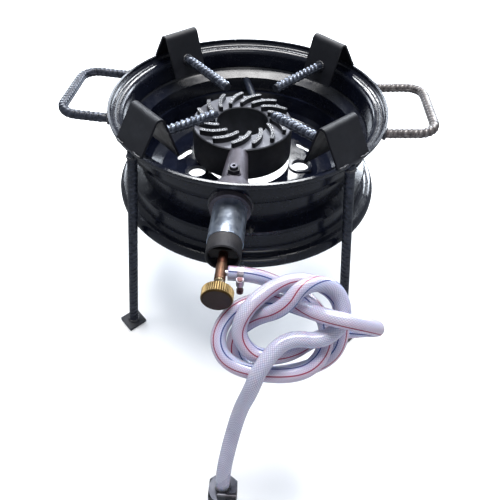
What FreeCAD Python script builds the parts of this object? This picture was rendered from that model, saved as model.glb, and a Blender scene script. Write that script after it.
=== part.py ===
"""Gas stove made from a steel wheel rim: rim, burner, feed line, valve, hose, legs, pot rests and handles.

Millimetres. The rim's axis is Z, the floor is Z = 0, the handles lie along X and the gas inlet points to -Y.
"""
import FreeCAD
import Part
import Sketcher
import math
import os

Vector = FreeCAD.Vector
Placement = FreeCAD.Placement
Rotation = FreeCAD.Rotation

X_AXIS = Vector(1, 0, 0)
Y_AXIS = Vector(0, 1, 0)
Z_AXIS = Vector(0, 0, 1)
FAR = 400.0

# Driving dimensions: name, value, meaning.
DIMENSIONS = (
    ("rim_dia", 390, "outer diameter of the wheel rim's flanges"),
    ("rim_width", 138.5, "height of the rim from flange edge to flange edge"),
    ("rim_base", 176.5, "height of the rim's lower edge above the floor"),
    ("rim_wall", 3.2, "sheet thickness of the rim"),
    ("flange_rise", 17.6, "height of a flange above its bead seat"),
    ("flange_depth", 12, "axial depth of a flange"),
    ("flange_curl", 9, "outer radius of a flange's curl"),
    ("seat_corner", 6.5, "radius between a flange and its bead seat"),
    ("seat_width", 20, "width of a bead seat"),
    ("seat_taper", 1.6, "fall of a bead seat towards the well"),
    ("hump_height", 1.8, "height of the safety hump beside a bead seat"),
    ("well_radius", 160, "outer radius of the drop-centre well"),
    ("well_top", 52, "distance of the well's upper edge below the rim's top"),
    ("well_bottom", 90, "distance of the well's lower edge below the rim's top"),
    ("disc_rise", 30.5, "height of the wheel disc's bolt face above the rim's lower edge"),
    ("disc_wall", 4, "sheet thickness of the wheel disc"),
    ("hub_hole_dia", 128, "centre hole of the wheel disc"),
    ("pad_radius", 93, "outer radius of the disc's flat bolt face"),
    ("gutter_drop", 12, "depth of the disc's gutter below the bolt face"),
    ("gutter_inner", 109, "inner radius of the gutter's floor"),
    ("gutter_outer", 132, "outer radius of the gutter's floor"),
    ("disc_flange_rise", 61.5, "top of the disc's welded flange above the rim's lower edge"),
    ("bolt_circle_dia", 164.4, "bolt circle of the wheel disc"),
    ("bolt_hole_dia", 26, "bolt hole"),
    ("bolt_boss_dia", 38, "pressed ring round a bolt hole"),
    ("bolt_boss_height", 2.5, "height of that ring"),
    ("vent_circle_dia", 200, "circle of the vent holes"),
    ("vent_dia", 24, "vent hole"),
    ("burner_offset", -8, "offset of the burner along X"),
    ("burner_dia", 146, "diameter of the burner"),
    ("burner_drop", 39, "burner's top plate below the rim's upper edge"),
    ("burner_depth", 51, "depth of the burner from plate to floor"),
    ("burner_plate", 6, "thickness of the top plate"),
    ("burner_hole_dia", 76, "centre hole of the burner"),
    ("burner_wall", 5, "wall of the burner's casting"),
    ("ridge_count", 15, "swirl ridges on the top plate"),
    ("ridge_height", 8, "height of a ridge"),
    ("ridge_width", 6, "width of a ridge"),
    ("ridge_inner", 42, "radius of a ridge's inner end"),
    ("ridge_outer", 67, "radius of a ridge's outer end"),
    ("ridge_sweep", 24, "angle that a ridge sweeps"),
    ("ridge_bow", 3.5, "bow of a ridge out of the straight"),
    ("port_dia", 2.6, "gas port"),
    ("window_width", 20, "width of the burner's inlet window"),
    ("window_rise", 3, "upper edge of the inlet window above the feed line's axis"),
    ("window_height", 18, "height of the inlet window"),
    ("rear_bar_dia", 12, "support bar behind the burner"),
    ("rear_bar_drop", 18, "support bar's axis below the burner's top plate"),
    ("rear_bar_start", 11, "support bar at the burner, along X"),
    ("rear_bar_end", -14, "support bar at the rim, along X"),
    ("feed_drop", 11, "feed line's axis below the burner's top plate"),
    ("throat_dia", 27, "mixing tube at the burner"),
    ("throat_bore", 20, "bore of the mixing tube at the burner"),
    ("cone_dia", 36, "mixing tube at its wide end"),
    ("cone_end", 128, "distance of the cone's wide end from the rim's axis"),
    ("socket_start", 152, "shoulder inside the socket, from the rim's axis"),
    ("socket_end", 184, "mouth of the socket, from the rim's axis"),
    ("socket_wall", 4.5, "wall of the socket"),
    ("lock_place", 132, "lock screw, from the rim's axis"),
    ("lock_pad_dia", 18.5, "pad under the lock nut"),
    ("lock_pad_height", 19.5, "top of the pad above the feed line's axis"),
    ("lock_nut_width", 15, "lock nut across flats"),
    ("lock_nut_height", 6, "height of the lock nut"),
    ("lock_screw_dia", 6, "shank of the lock screw"),
    ("lock_head_dia", 10.8, "head of the lock screw"),
    ("lock_head_height", 4, "height of the screw's head"),
    ("lock_recess_dia", 4.6, "recess in the screw's head"),
    ("pipe_dia", 42.2, "outer diameter of the galvanised pipe"),
    ("pipe_wall", 3.2, "wall of the galvanised pipe"),
    ("pipe_end", 240, "outer end of the pipe, from the rim's axis"),
    ("hole_clearance", 0.6, "clearance of the rim's hole round the socket"),
    ("collar_dia", 40.6, "outer diameter of the end collar"),
    ("collar_end", 262, "mouth of the collar, from the rim's axis"),
    ("collar_wall", 3, "wall of the collar"),
    ("spigot_length", 8, "length of the collar's spigot in the pipe"),
    ("bracket_thick", 5, "thickness of the injector's bracket"),
    ("bracket_width", 13, "width of the injector's bracket"),
    ("bracket_inset", 7, "bracket behind the collar's mouth"),
    ("injector_dia", 10.8, "outer diameter of the injector tube"),
    ("injector_bore", 4, "bore of the injector tube"),
    ("injector_start", 244, "inner end of the injector tube, from the rim's axis"),
    ("jet_width", 8, "gas jet across flats"),
    ("jet_length", 7, "length of the gas jet"),
    ("jet_bore", 1.2, "bore of the gas jet"),
    ("valve_start", 271, "inner end of the valve body, from the rim's axis"),
    ("valve_dia", 12.2, "outer diameter of the valve body"),
    ("valve_end", 293, "outer end of the valve body, from the rim's axis"),
    ("gland_end", 305, "outer end of the gland nut, from the rim's axis"),
    ("gland_dia", 16.5, "large end of the gland nut"),
    ("spindle_dia", 6, "valve spindle"),
    ("running_gap", 0.05, "radial running clearance of the spindle and the swivel nut"),
    ("knob_dia", 34, "knurled knob"),
    ("knob_start", 306.5, "inner face of the knob, from the rim's axis"),
    ("knob_thick", 13, "thickness of the knob"),
    ("knob_flutes", 44, "flutes of the knurl"),
    ("flute_depth", 0.9, "depth of a flute"),
    ("cap_dia", 29, "dark cap in the knob's face"),
    ("cap_thick", 2.5, "thickness of the cap"),
    ("barb_place", 282, "hose barb, from the rim's axis"),
    ("barb_dia", 10, "hose barb over its ridges"),
    ("barb_neck_dia", 7, "bare neck of the hose barb"),
    ("barb_bore", 4, "bore of the hose barb"),
    ("barb_depth", 9, "length of a barb inside the hose"),
    ("hose_dia", 16, "outer diameter of the hose"),
    ("clip_band", 0.9, "thickness of a hose clip's band"),
    ("clip_width", 7, "width of a hose clip's band"),
    ("clip_screw_dia", 6, "worm screw of a hose clip"),
    ("clip_screw_length", 17, "length of a worm screw"),
    ("tail_barb_depth", 15, "length of the tail's barb inside the hose"),
    ("nut_width", 32, "swivel nut across flats"),
    ("nut_bottom", 16, "height of the swivel nut's lower face"),
    ("nut_top", 49, "height of the swivel nut's upper face"),
    ("nut_cover", 4, "thickness of the swivel nut's upper wall"),
    ("nut_bore", 23, "bore of the swivel nut"),
    ("nipple_neck_dia", 11, "neck of the nipple in the nut's cover"),
    ("nipple_nose_dia", 19, "nose of the nipple, which stands on the floor"),
    ("nipple_flange", 5, "thickness of the nipple's flange"),
    ("bar_dia", 12, "ribbed bar of the legs, prongs and handles"),
    ("foot_size", 28, "side of a foot plate"),
    ("foot_thick", 5, "thickness of a foot plate"),
    ("leg_foot_radius", 230.6, "leg's axis at the foot, from the rim's axis"),
    ("leg_lean", 0.133, "outward run of a leg per unit of height"),
    ("rest_width", 57, "width of a pot rest"),
    ("rest_thick", 3, "plate thickness of a pot rest"),
    ("rest_rise", 42, "height of a pot rest above the rim"),
    ("rest_ridge_radius", 162, "ridge of a pot rest, from the rim's axis"),
    ("rest_bend", 8, "outer bend radius of the ridge"),
    ("rest_inner_radius", 139, "lower edge of a pot rest's inner leg, from the rim's axis"),
    ("rest_inner_drop", 20, "lower edge of the inner leg below the rim's top"),
    ("prong_drop", 4, "a prong's axis at its inner end, below the rim's upper edge"),
    ("prong_slope", 0.07, "rise of a prong per unit of length outwards"),
    ("prong_reach_fl", 58, "inner end of the front left prong, from the rim's axis"),
    ("prong_reach_fr", 52, "inner end of the front right prong"),
    ("prong_reach_rl", 46, "inner end of the rear left prong"),
    ("prong_reach_rr", 52, "inner end of the rear right prong"),
    ("handle_span", 122, "distance between a handle's arms"),
    ("handle_reach", 253, "grip's axis from the rim's axis"),
    ("handle_drop", 7, "a handle's arms at the rim, below the rim's upper edge"),
    ("handle_tilt", 4, "upward tilt of a handle, degrees"),
    ("handle_bend", 24, "bend radius of a handle's corners"),
)

# Corner points of the hose's route, from the valve's barb to the fitting on the floor.
HOSE_ROUTE = (
    (9, -282, 265), (26, -282, 265), (46, -278, 253), (70, -285, 248), (92, -300, 246), (108, -318, 234),
    (103, -350, 226), (80, -364, 212), (36, -365, 210), (2, -356, 215), (-8, -335, 231), (11, -309, 246),
    (45, -298, 248), (81, -316, 257), (105, -336, 272), (143, -338, 266), (158, -325, 245), (152, -311, 224),
    (118, -307, 209), (93, -326, 219), (66, -351, 225), (34, -352, 220), (14, -340, 238), (22, -324, 262),
    (50, -296, 268), (81, -287, 271), (114, -294, 261), (125, -314, 235), (118, -336, 209), (84, -350, 198),
    (40, -355, 191), (12, -345, 202), (10, -328, 224), (32, -317, 239), (60, -327, 268), (78, -309, 289),
    (112, -302, 281), (124, -323, 256), (102, -345, 244), (63, -346, 250), (39, -374, 234), (33, -383, 212),
    (22, -381, 168), (13, -395, 125), (6, -414, 84), (6, -414, 50),
)
LEAD_RUNS = 3
TAIL_RUN = 41


class Size:
    """A number together with the spreadsheet expression that gives it."""

    def __init__(self, value, text):
        self.value = float(value)
        self.text = text

    def __add__(self, other):
        return combine(self, other, "+", self.value + number(other))

    def __radd__(self, other):
        return combine(other, self, "+", number(other) + self.value)

    def __sub__(self, other):
        return combine(self, other, "-", self.value - number(other))

    def __rsub__(self, other):
        return combine(other, self, "-", number(other) - self.value)

    def __mul__(self, other):
        return combine(self, other, "*", self.value * number(other))

    def __rmul__(self, other):
        return combine(other, self, "*", number(other) * self.value)

    def __truediv__(self, other):
        return combine(self, other, "/", self.value / number(other))

    def __neg__(self):
        return Size(-self.value, "(-1 * %s)" % self.text)


def number(size):
    return size.value if isinstance(size, Size) else float(size)


def text(size):
    return size.text if isinstance(size, Size) else repr(float(size))


def combine(first, second, sign, value):
    return Size(value, "(%s %s %s)" % (text(first), sign, text(second)))


def bind(thing, name, size):
    """Set a property, and tie it to the sheet where the size comes from there."""
    if isinstance(size, Size):
        thing.setExpression(name, size.text)
    else:
        setattr(thing, name, size)


def make_sheet(doc):
    sheet = doc.addObject("Spreadsheet::Sheet", "Sizes")
    for row, (name, value, meaning) in enumerate(DIMENSIONS, start=1):
        sheet.set("A%d" % row, str(value))
        sheet.set("B%d" % row, meaning)
        sheet.setAlias("A%d" % row, name)
    doc.recompute()
    return sheet


class Sizes:
    """The sheet's values by name, each with its expression."""

    def __init__(self, sheet):
        for name, value, meaning in DIMENSIONS:
            setattr(self, name, Size(getattr(sheet, name), "Sizes." + name))
        self.rim_radius = self.rim_dia / 2
        self.rim_top = self.rim_base + self.rim_width
        self.seat_radius = self.rim_radius - self.flange_rise
        self.well_inside = self.well_radius - self.rim_wall
        self.disc_height = self.rim_base + self.disc_rise
        self.disc_flange_top = self.rim_base + self.disc_flange_rise
        self.burner_radius = self.burner_dia / 2
        self.burner_top = self.rim_top - self.burner_drop
        self.burner_floor = self.burner_top - self.burner_depth
        self.rear_bar_height = self.burner_top - self.rear_bar_drop
        self.feed_height = self.burner_top - self.feed_drop
        self.window_top = self.feed_height + self.window_rise
        self.prong_height = self.rim_top - self.prong_drop
        self.handle_height = self.rim_top - self.handle_drop
        self.socket_dia = self.pipe_dia + 2 * self.socket_wall
        self.pipe_bore = self.pipe_dia - 2 * self.pipe_wall
        self.collar_bore = self.collar_dia - 2 * self.collar_wall
        self.bar_radius = self.bar_dia / 2


# ---------------------------------------------------------------- sketches and features

def origin_feature(body, role):
    return [item for item in body.Origin.OriginFeatures if item.Role == role][0]


def new_body(doc, name):
    body = doc.addObject("PartDesign::Body", name)
    body.Label = name
    return body


def new_sketch(body, name, role, shift=None):
    """A sketch on one of the body's origin planes, moved along the plane's normal by a size."""
    sketch = body.newObject("Sketcher::SketchObject", name)
    sketch.AttachmentSupport = [(origin_feature(body, role), "")]
    sketch.MapMode = "FlatFace"
    if shift is not None:
        sketch.AttachmentOffset = Placement(Vector(0, 0, number(shift)), Rotation())
        bind(sketch, "AttachmentOffset.Base.z", shift)
    return sketch


def tilt(sketch, axis, slope, base):
    """Lean a sketch's plane about one of its axes by a slope, its origin at sizes by coordinate."""
    angle = math.degrees(math.atan(slope.value))
    origin = Vector(*[number(base.get(name, 0)) for name in "xyz"])
    sketch.AttachmentOffset = Placement(origin, Rotation(axis, angle))
    bind(sketch, "AttachmentOffset.Rotation.Angle", Size(angle, "atan(%s)" % slope.text))
    for name, size in base.items():
        bind(sketch, "AttachmentOffset.Base." + name, size)


def fix_point(sketch, geometry, end, point):
    """Place one end of a sketch element by distances from the origin, tied to the sheet."""
    for kind, coordinate in (("DistanceX", point[0]), ("DistanceY", point[1])):
        place = sketch.addConstraint(Sketcher.Constraint(kind, -1, 1, geometry, end, number(coordinate)))
        if isinstance(coordinate, Size):
            sketch.setExpression("Constraints[%d]" % place, coordinate.text)


def flat(point):
    return Vector(number(point[0]), number(point[1]), 0)


def end_at(sketch, geometry, point):
    first = sketch.getPoint(geometry, 1)
    return 1 if first.distanceToPoint(flat(point)) < 1e-5 else 2


def add_path(sketch, points, bends=None, closed=True):
    """Lines through the points; a bend maps a point's index to a middle point of the arc to the next point."""
    bends = bends or {}
    count = len(points) if closed else len(points) - 1
    made = []
    for index in range(count):
        start = points[index]
        finish = points[(index + 1) % len(points)]
        if index in bends:
            edge = Part.Arc(flat(start), flat(bends[index]), flat(finish))
        else:
            edge = Part.LineSegment(flat(start), flat(finish))
        made.append(sketch.addGeometry(edge))
    joins = count if closed else count - 1
    for index in range(joins):
        point = points[(index + 1) % len(points)]
        here = made[index]
        there = made[(index + 1) % count]
        sketch.addConstraint(Sketcher.Constraint(
            "Coincident", here, end_at(sketch, here, point), there, end_at(sketch, there, point)))
    for index in range(count):
        fix_point(sketch, made[index], end_at(sketch, made[index], points[index]), points[index])
    if not closed:
        fix_point(sketch, made[-1], end_at(sketch, made[-1], points[-1]), points[-1])
    return made


def add_circle(sketch, centre, diameter):
    circle = sketch.addGeometry(Part.Circle(flat(centre), Z_AXIS, number(diameter) / 2))
    fix_point(sketch, circle, 3, centre)
    place = sketch.addConstraint(Sketcher.Constraint("Diameter", circle, number(diameter)))
    if isinstance(diameter, Size):
        sketch.setExpression("Constraints[%d]" % place, diameter.text)
    return circle


def add_polygon(sketch, centre, across_flats, sides=6, turn=0.0):
    """A regular polygon given by its width across flats."""
    corner = across_flats / 2 / math.cos(math.pi / sides)
    points = []
    for index in range(sides):
        angle = math.radians(turn) + 2 * math.pi * index / sides
        points.append((centre[0] + corner * math.cos(angle), centre[1] + corner * math.sin(angle)))
    add_path(sketch, points)


def revolve(body, sketch, axis="V_Axis", cut=False):
    kind = "PartDesign::Groove" if cut else "PartDesign::Revolution"
    feature = body.newObject(kind, sketch.Name + ("Groove" if cut else "Turn"))
    feature.Profile = sketch
    feature.ReferenceAxis = (sketch, [axis])
    feature.Angle = 360
    return feature


def pad(body, sketch, length, middle=False, back=False):
    feature = body.newObject("PartDesign::Pad", sketch.Name + "Pad")
    feature.Profile = sketch
    bind(feature, "Length", length)
    if middle:
        feature.SideType = "Symmetric"
    feature.Reversed = back
    return feature


def pocket(body, sketch, length=FAR, middle=False, back=False, through=False):
    feature = body.newObject("PartDesign::Pocket", sketch.Name + "Pocket")
    feature.Profile = sketch
    if through:
        feature.Type = "ThroughAll"
    else:
        bind(feature, "Length", length)
    if middle:
        feature.SideType = "Symmetric"
    feature.Reversed = back
    return feature


def repeat(body, features, count, role="Z_Axis"):
    pattern = body.newObject("PartDesign::PolarPattern", features[0].Name + "Ring")
    pattern.Originals = features
    pattern.Axis = (origin_feature(body, role), [""])
    pattern.Angle = 360
    bind(pattern, "Occurrences", count)
    body.Tip = pattern
    return pattern


def settle(doc, body, before=None):
    """Recompute; with a volume given, make sure that the last feature changed it."""
    doc.recompute()
    volume = body.Shape.Volume
    if before is not None and abs(volume - before) < 1e-3:
        raise RuntimeError("%s: a feature changed nothing" % body.Label)
    return volume


def place(body, x=0, y=0, z=0, axis=Z_AXIS, angle=0.0):
    body.Placement = Placement(Vector(number(x), number(y), number(z)), Rotation(axis, angle))
    for name, size in (("x", x), ("y", y), ("z", z)):
        if isinstance(size, Size):
            body.setExpression("Placement.Base." + name, size.text)


def turned(doc, name, points, axis="H_Axis", role="YZ_Plane", bends=None):
    """A turned piece: its half section, revolved about the sketch's axis."""
    body = new_body(doc, name)
    sketch = new_sketch(body, name + "Section", role)
    add_path(sketch, points, bends)
    revolve(body, sketch, axis)
    return body


def arc_middle(centre, radius, degrees):
    angle = math.radians(degrees)
    return (centre[0] + radius * math.cos(angle), centre[1] + radius * math.sin(angle))


# ---------------------------------------------------------------- wheel rim

def flange_underside(S):
    """Outline of one flange's tyre side, from its edge to the bead seat, measured from the rim's edge inwards."""
    curl = (S.rim_radius - S.flange_curl, S.flange_depth - S.flange_curl)
    corner = (S.seat_radius + S.seat_corner, S.flange_depth + S.seat_corner)
    points = [
        (S.rim_radius, 0 * S.flange_depth),
        (S.rim_radius, S.flange_depth - S.flange_curl),
        (S.rim_radius - S.flange_curl, S.flange_depth),
        (S.seat_radius + S.seat_corner, S.flange_depth),
        (S.seat_radius, S.flange_depth + S.seat_corner),
    ]
    bends = {
        1: arc_middle(curl, S.flange_curl, 45),
        3: arc_middle(corner, S.seat_corner, 225),
    }
    return points, bends


def flange_inside(S):
    """The same flange's open side, from the bead seat's inside to the edge."""
    curl = (S.rim_radius - S.flange_curl, S.flange_depth - S.flange_curl)
    corner = (S.seat_radius + S.seat_corner, S.flange_depth + S.seat_corner)
    points = [
        (S.seat_radius - S.rim_wall, S.flange_depth + S.seat_corner),
        (S.seat_radius + S.seat_corner, S.flange_depth - S.rim_wall),
        (S.rim_radius - S.flange_curl, S.flange_depth - S.rim_wall),
        (S.rim_radius - S.rim_wall, S.flange_depth - S.flange_curl),
        (S.rim_radius - S.rim_wall, 0 * S.flange_depth),
    ]
    bends = {
        0: arc_middle(corner, S.seat_corner + S.rim_wall, 225),
        2: arc_middle(curl, S.flange_curl - S.rim_wall, 45),
    }
    return points, bends


def seat_side(S, well):
    """Bead seat, hump and slope down to the well, measured from the rim's edge inwards."""
    seat_end = S.flange_depth + S.seat_corner + S.seat_width
    return [
        (S.seat_radius - S.seat_taper, seat_end),
        (S.seat_radius - S.seat_taper + S.hump_height, seat_end + 3),
        (S.seat_radius - S.seat_taper, seat_end + 6),
        (S.well_radius, well),
    ]


def from_top(S, point):
    return (point[0], S.rim_top - point[1])


def from_base(S, point):
    return (point[0], S.rim_base + point[1])


def inwards(S, point):
    return (point[0] - S.rim_wall, point[1])


def rim_section(S):
    """Closed section of the rim's sheet: tyre side downwards, then the inside upwards."""
    under, under_bends = flange_underside(S)
    inner, inner_bends = flange_inside(S)
    upper = seat_side(S, S.well_top)
    lower = seat_side(S, S.rim_width - S.well_bottom)
    points = [from_top(S, point) for point in under + upper]
    bends = {index: from_top(S, point) for index, point in under_bends.items()}
    base = len(points)
    back = [from_base(S, point) for point in list(reversed(lower)) + list(reversed(under))]
    for index, point in under_bends.items():
        bends[base + len(lower) + len(under) - 2 - index] = from_base(S, point)
    points += back
    base = len(points)
    outer_edge = list(reversed(inner))
    for index, point in inner_bends.items():
        bends[base + len(inner) - 2 - index] = from_base(S, point)
    points += [from_base(S, point) for point in outer_edge]
    points += [from_base(S, inwards(S, point)) for point in lower]
    points += [from_top(S, inwards(S, point)) for point in reversed(upper)]
    base = len(points)
    for index, point in inner_bends.items():
        bends[base + index] = from_top(S, point)
    points += [from_top(S, point) for point in inner]
    return points, bends


def make_rim(doc, S):
    points, bends = rim_section(S)
    body = turned(doc, "rim_barrel", points, "V_Axis", "XZ_Plane", bends)
    before = settle(doc, body)
    hole = new_sketch(body, "FeedHole", "XZ_Plane")
    add_circle(hole, (S.burner_offset, S.feed_height), S.socket_dia + 2 * S.hole_clearance)
    pocket(body, hole, S.rim_dia, back=True)
    settle(doc, body, before)
    return body


def disc_face(S, lower):
    """Upper face of the wheel disc, or its lower face one wall down."""
    face = S.disc_height - lower
    return [
        (S.hub_hole_dia / 2, face),
        (S.pad_radius, face),
        (S.gutter_inner, face - S.gutter_drop),
        (S.gutter_outer, face - S.gutter_drop),
        (S.well_inside - 9, face - 4),
    ]


def make_disc(doc, S):
    upper = disc_face(S, 0 * S.disc_wall)
    lower = disc_face(S, S.disc_wall)
    inside = S.well_inside - S.disc_wall
    points = upper + [(inside, S.disc_height + 4), (inside, S.disc_flange_top), (S.well_inside, S.disc_flange_top)]
    points += [(S.well_inside, S.disc_height + 3)] + list(reversed(lower))
    body = turned(doc, "wheel_disc", points, "V_Axis", "XZ_Plane")
    before = settle(doc, body)
    boss = new_sketch(body, "BoltBoss", "XY_Plane", S.disc_height)
    add_circle(boss, (S.bolt_circle_dia / 2, 0 * S.disc_wall), S.bolt_boss_dia)
    raised = pad(body, boss, S.bolt_boss_height)
    raised.TaperAngle = -30
    repeat(body, [raised], 5)
    before = settle(doc, body, before)
    bolt = new_sketch(body, "BoltHole", "XY_Plane", S.disc_height + S.bolt_boss_height)
    add_circle(bolt, (S.bolt_circle_dia / 2, 0 * S.disc_wall), S.bolt_hole_dia)
    drilled = pocket(body, bolt, S.disc_wall + S.bolt_boss_height + 1)
    repeat(body, [drilled], 5)
    before = settle(doc, body, before)
    vent = new_sketch(body, "Vent", "XY_Plane", S.disc_height + 1)
    half_turn = math.radians(36)
    centre = S.vent_circle_dia / 2
    add_circle(vent, (centre * math.cos(half_turn), centre * math.sin(half_turn)), S.vent_dia)
    cut = pocket(body, vent, S.disc_wall + S.gutter_drop + 2)
    repeat(body, [cut], 5)
    settle(doc, body, before)
    place(body, angle=-7)
    return body


# ---------------------------------------------------------------- burner

def make_burner_body(doc, S):
    plate_base = S.burner_top - S.burner_plate
    inner = S.burner_hole_dia / 2
    points = [
        (inner, S.burner_floor),
        (S.burner_radius, S.burner_floor),
        (S.burner_radius, plate_base),
        (S.burner_radius - S.burner_wall, plate_base),
        (S.burner_radius - S.burner_wall, S.burner_floor + S.burner_wall),
        (inner + S.burner_wall, S.burner_floor + S.burner_wall),
        (inner + S.burner_wall, plate_base),
        (inner, plate_base),
    ]
    body = turned(doc, "burner_body", points, "V_Axis", "XZ_Plane")
    before = settle(doc, body)
    half = S.window_width / 2
    base = S.window_top - S.window_height
    window = new_sketch(body, "InletWindow", "XZ_Plane", S.burner_radius - 2 * S.burner_wall)
    add_path(window, [(-half, base), (half, base), (half, S.window_top), (-half, S.window_top)])
    pocket(body, window, 4 * S.burner_wall, back=True)
    settle(doc, body, before)
    place(body, x=S.burner_offset)
    return body


def ridge_middle(S):
    """Middle point of a ridge's centre line and the direction across it."""
    start = Vector(S.ridge_inner.value, 0, 0)
    angle = -math.radians(S.ridge_sweep.value)
    finish = Vector(math.cos(angle), math.sin(angle), 0) * S.ridge_outer.value
    across = Vector(-(finish - start).y, (finish - start).x, 0).normalize()
    return start, finish, across


def ridge_arc(S, side):
    """Start, middle and end of one long side of a swirl ridge."""
    start, finish, across = ridge_middle(S)
    offset = across * (side * S.ridge_width.value / 2)
    middle = (start + finish) * 0.5 + across * S.ridge_bow.value
    return start + offset, middle + offset, finish + offset


def on_ridge(S, share):
    """Point on a ridge's centre line at a share of its length."""
    start, middle, finish = ridge_arc(S, 0)
    line = Part.Arc(start, middle, finish)
    return line.value(line.FirstParameter + (line.LastParameter - line.FirstParameter) * share)


def pair(vector):
    return (vector.x, vector.y)


def make_burner_top(doc, S):
    plate_base = S.burner_top - S.burner_plate
    inner = S.burner_hole_dia / 2
    bevel = 1.5
    points = [
        (inner, plate_base),
        (S.burner_radius, plate_base),
        (S.burner_radius, S.burner_top - bevel),
        (S.burner_radius - bevel, S.burner_top),
        (inner + bevel, S.burner_top),
        (inner, S.burner_top - bevel),
    ]
    body = turned(doc, "burner_top", points, "V_Axis", "XZ_Plane")
    before = settle(doc, body)
    left = ridge_arc(S, 1)
    right = ridge_arc(S, -1)
    start, finish, across = ridge_middle(S)
    along = (finish - start).normalize() * (S.ridge_width.value / 2)
    outline = new_sketch(body, "Ridge", "XY_Plane", S.burner_top)
    corners = [pair(right[0]), pair(right[2]), pair(left[2]), pair(left[0])]
    ends = {
        0: pair(right[1]),
        1: pair(finish + along),
        2: pair(left[1]),
        3: pair(start - along),
    }
    add_path(outline, corners, ends)
    ridge = pad(body, outline, S.ridge_height)
    repeat(body, [ridge], S.ridge_count)
    before = settle(doc, body, before)
    ports = new_sketch(body, "Ports", "XY_Plane", S.burner_top + S.ridge_height)
    for share in (0.08, 0.29, 0.5, 0.71, 0.92):
        add_circle(ports, pair(on_ridge(S, share)), S.port_dia)
    drilled = pocket(body, ports, S.ridge_height + S.burner_plate + 1)
    repeat(body, [drilled], S.ridge_count)
    settle(doc, body, before)
    place(body, x=S.burner_offset)
    return body


def make_rear_bar(doc, S):
    start = Vector(S.rear_bar_start.value, S.burner_radius.value - 8, S.rear_bar_height.value)
    finish = Vector(S.rear_bar_end.value, S.well_inside.value, S.rear_bar_height.value)
    rod = doc.addObject("Part::Cylinder", "RearBarRod")
    bind(rod, "Radius", S.rear_bar_dia / 2)
    rod.Height = (finish - start).Length + S.rear_bar_dia.value
    rod.Placement = Placement(start, Rotation(Z_AXIS, finish - start))
    rod.setExpression("Placement.Base.z", S.rear_bar_height.text)
    reach = doc.addObject("Part::Cylinder", "RearBarReach")
    bind(reach, "Radius", S.well_inside)
    reach.Height = FAR
    burner = doc.addObject("Part::Cylinder", "RearBarBurner")
    bind(burner, "Radius", S.burner_radius)
    burner.Height = FAR
    place(burner, x=S.burner_offset)
    inside = doc.addObject("Part::Common", "RearBarInside")
    inside.Base = rod
    inside.Tool = reach
    bar = doc.addObject("Part::Cut", "burner_rear_bar")
    bar.Base = inside
    bar.Tool = burner
    bar.Label = "burner_rear_bar"
    return bar


# ---------------------------------------------------------------- feed line

def on_feed_line(body, S):
    """Move a piece turned about Y onto the feed line's axis."""
    place(body, x=S.burner_offset, z=S.feed_height)
    return body


def make_mixing_tube(doc, S):
    """Cone from the burner, lock screw's pad, and the socket that takes the pipe."""
    pipe = S.pipe_dia / 2
    points = [
        (-(S.burner_radius - 6), S.throat_bore / 2),
        (-S.cone_end, S.cone_dia / 2 - S.socket_wall),
        (-S.socket_start, pipe - S.pipe_wall),
        (-S.socket_start, pipe),
        (-S.socket_end, pipe),
        (-S.socket_end, pipe + S.socket_wall),
        (-(S.socket_start - S.socket_wall), pipe + S.socket_wall),
        (-(S.cone_end + 12), S.cone_dia / 2 + 1),
        (-S.cone_end, S.cone_dia / 2),
        (-(S.burner_radius - 6), S.throat_dia / 2),
    ]
    body = turned(doc, "mixing_tube", points)
    before = settle(doc, body)
    seat = new_sketch(body, "LockPad", "XY_Plane", S.cone_dia / 2 - S.socket_wall / 2)
    add_circle(seat, (0 * S.lock_place, -S.lock_place), S.lock_pad_dia)
    pad(body, seat, S.lock_pad_height - S.cone_dia / 2 + S.socket_wall / 2)
    before = settle(doc, body, before)
    drill = new_sketch(body, "LockHole", "XY_Plane", S.lock_pad_height)
    add_circle(drill, (0 * S.lock_place, -S.lock_place), S.lock_screw_dia)
    pocket(body, drill, S.lock_pad_height)
    before = settle(doc, body, before)
    drum = new_sketch(body, "DrumSeat", "XY_Plane")
    add_circle(drum, (0 * S.burner_radius, 0 * S.burner_radius), S.burner_dia)
    pocket(body, drum, FAR, middle=True)
    settle(doc, body, before)
    return on_feed_line(body, S)


def make_lock_nut(doc, S):
    body = new_body(doc, "lock_nut")
    hexagon = new_sketch(body, "LockNutHexagon", "XY_Plane")
    add_polygon(hexagon, (0, 0), S.lock_nut_width, turn=90)
    add_circle(hexagon, (0, 0), S.lock_screw_dia)
    pad(body, hexagon, S.lock_nut_height)
    place(body, x=S.burner_offset, y=-S.lock_place, z=S.feed_height + S.lock_pad_height)
    return body


def make_lock_screw(doc, S):
    """Screw with a hollow head; its shank reaches through the nut and the mixing tube's wall."""
    shank = S.lock_screw_dia / 2
    head = S.lock_head_dia / 2
    recess = S.lock_recess_dia / 2
    tip = -(S.lock_pad_height - S.cone_dia / 2 + S.socket_wall)
    top = S.lock_nut_height + S.lock_head_height
    points = [
        (0 * head, tip),
        (shank, tip),
        (shank, S.lock_nut_height),
        (head, S.lock_nut_height),
        (head, top - 0.8),
        (head - 0.8, top),
        (recess, top),
        (recess, top - 3),
        (0 * head, top - 3),
    ]
    body = turned(doc, "lock_screw", points, "V_Axis", "XZ_Plane")
    place(body, x=S.burner_offset, y=-S.lock_place, z=S.feed_height + S.lock_pad_height)
    return body


def tube_section(start, finish, outer, bore):
    """Half section of a plain tube between two distances from the rim's axis."""
    return [(-start, bore / 2), (-finish, bore / 2), (-finish, outer / 2), (-start, outer / 2)]


def make_pipe(doc, S):
    points = tube_section(S.socket_start, S.pipe_end, S.pipe_dia, S.pipe_bore)
    return on_feed_line(turned(doc, "galvanised_pipe", points), S)


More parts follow.
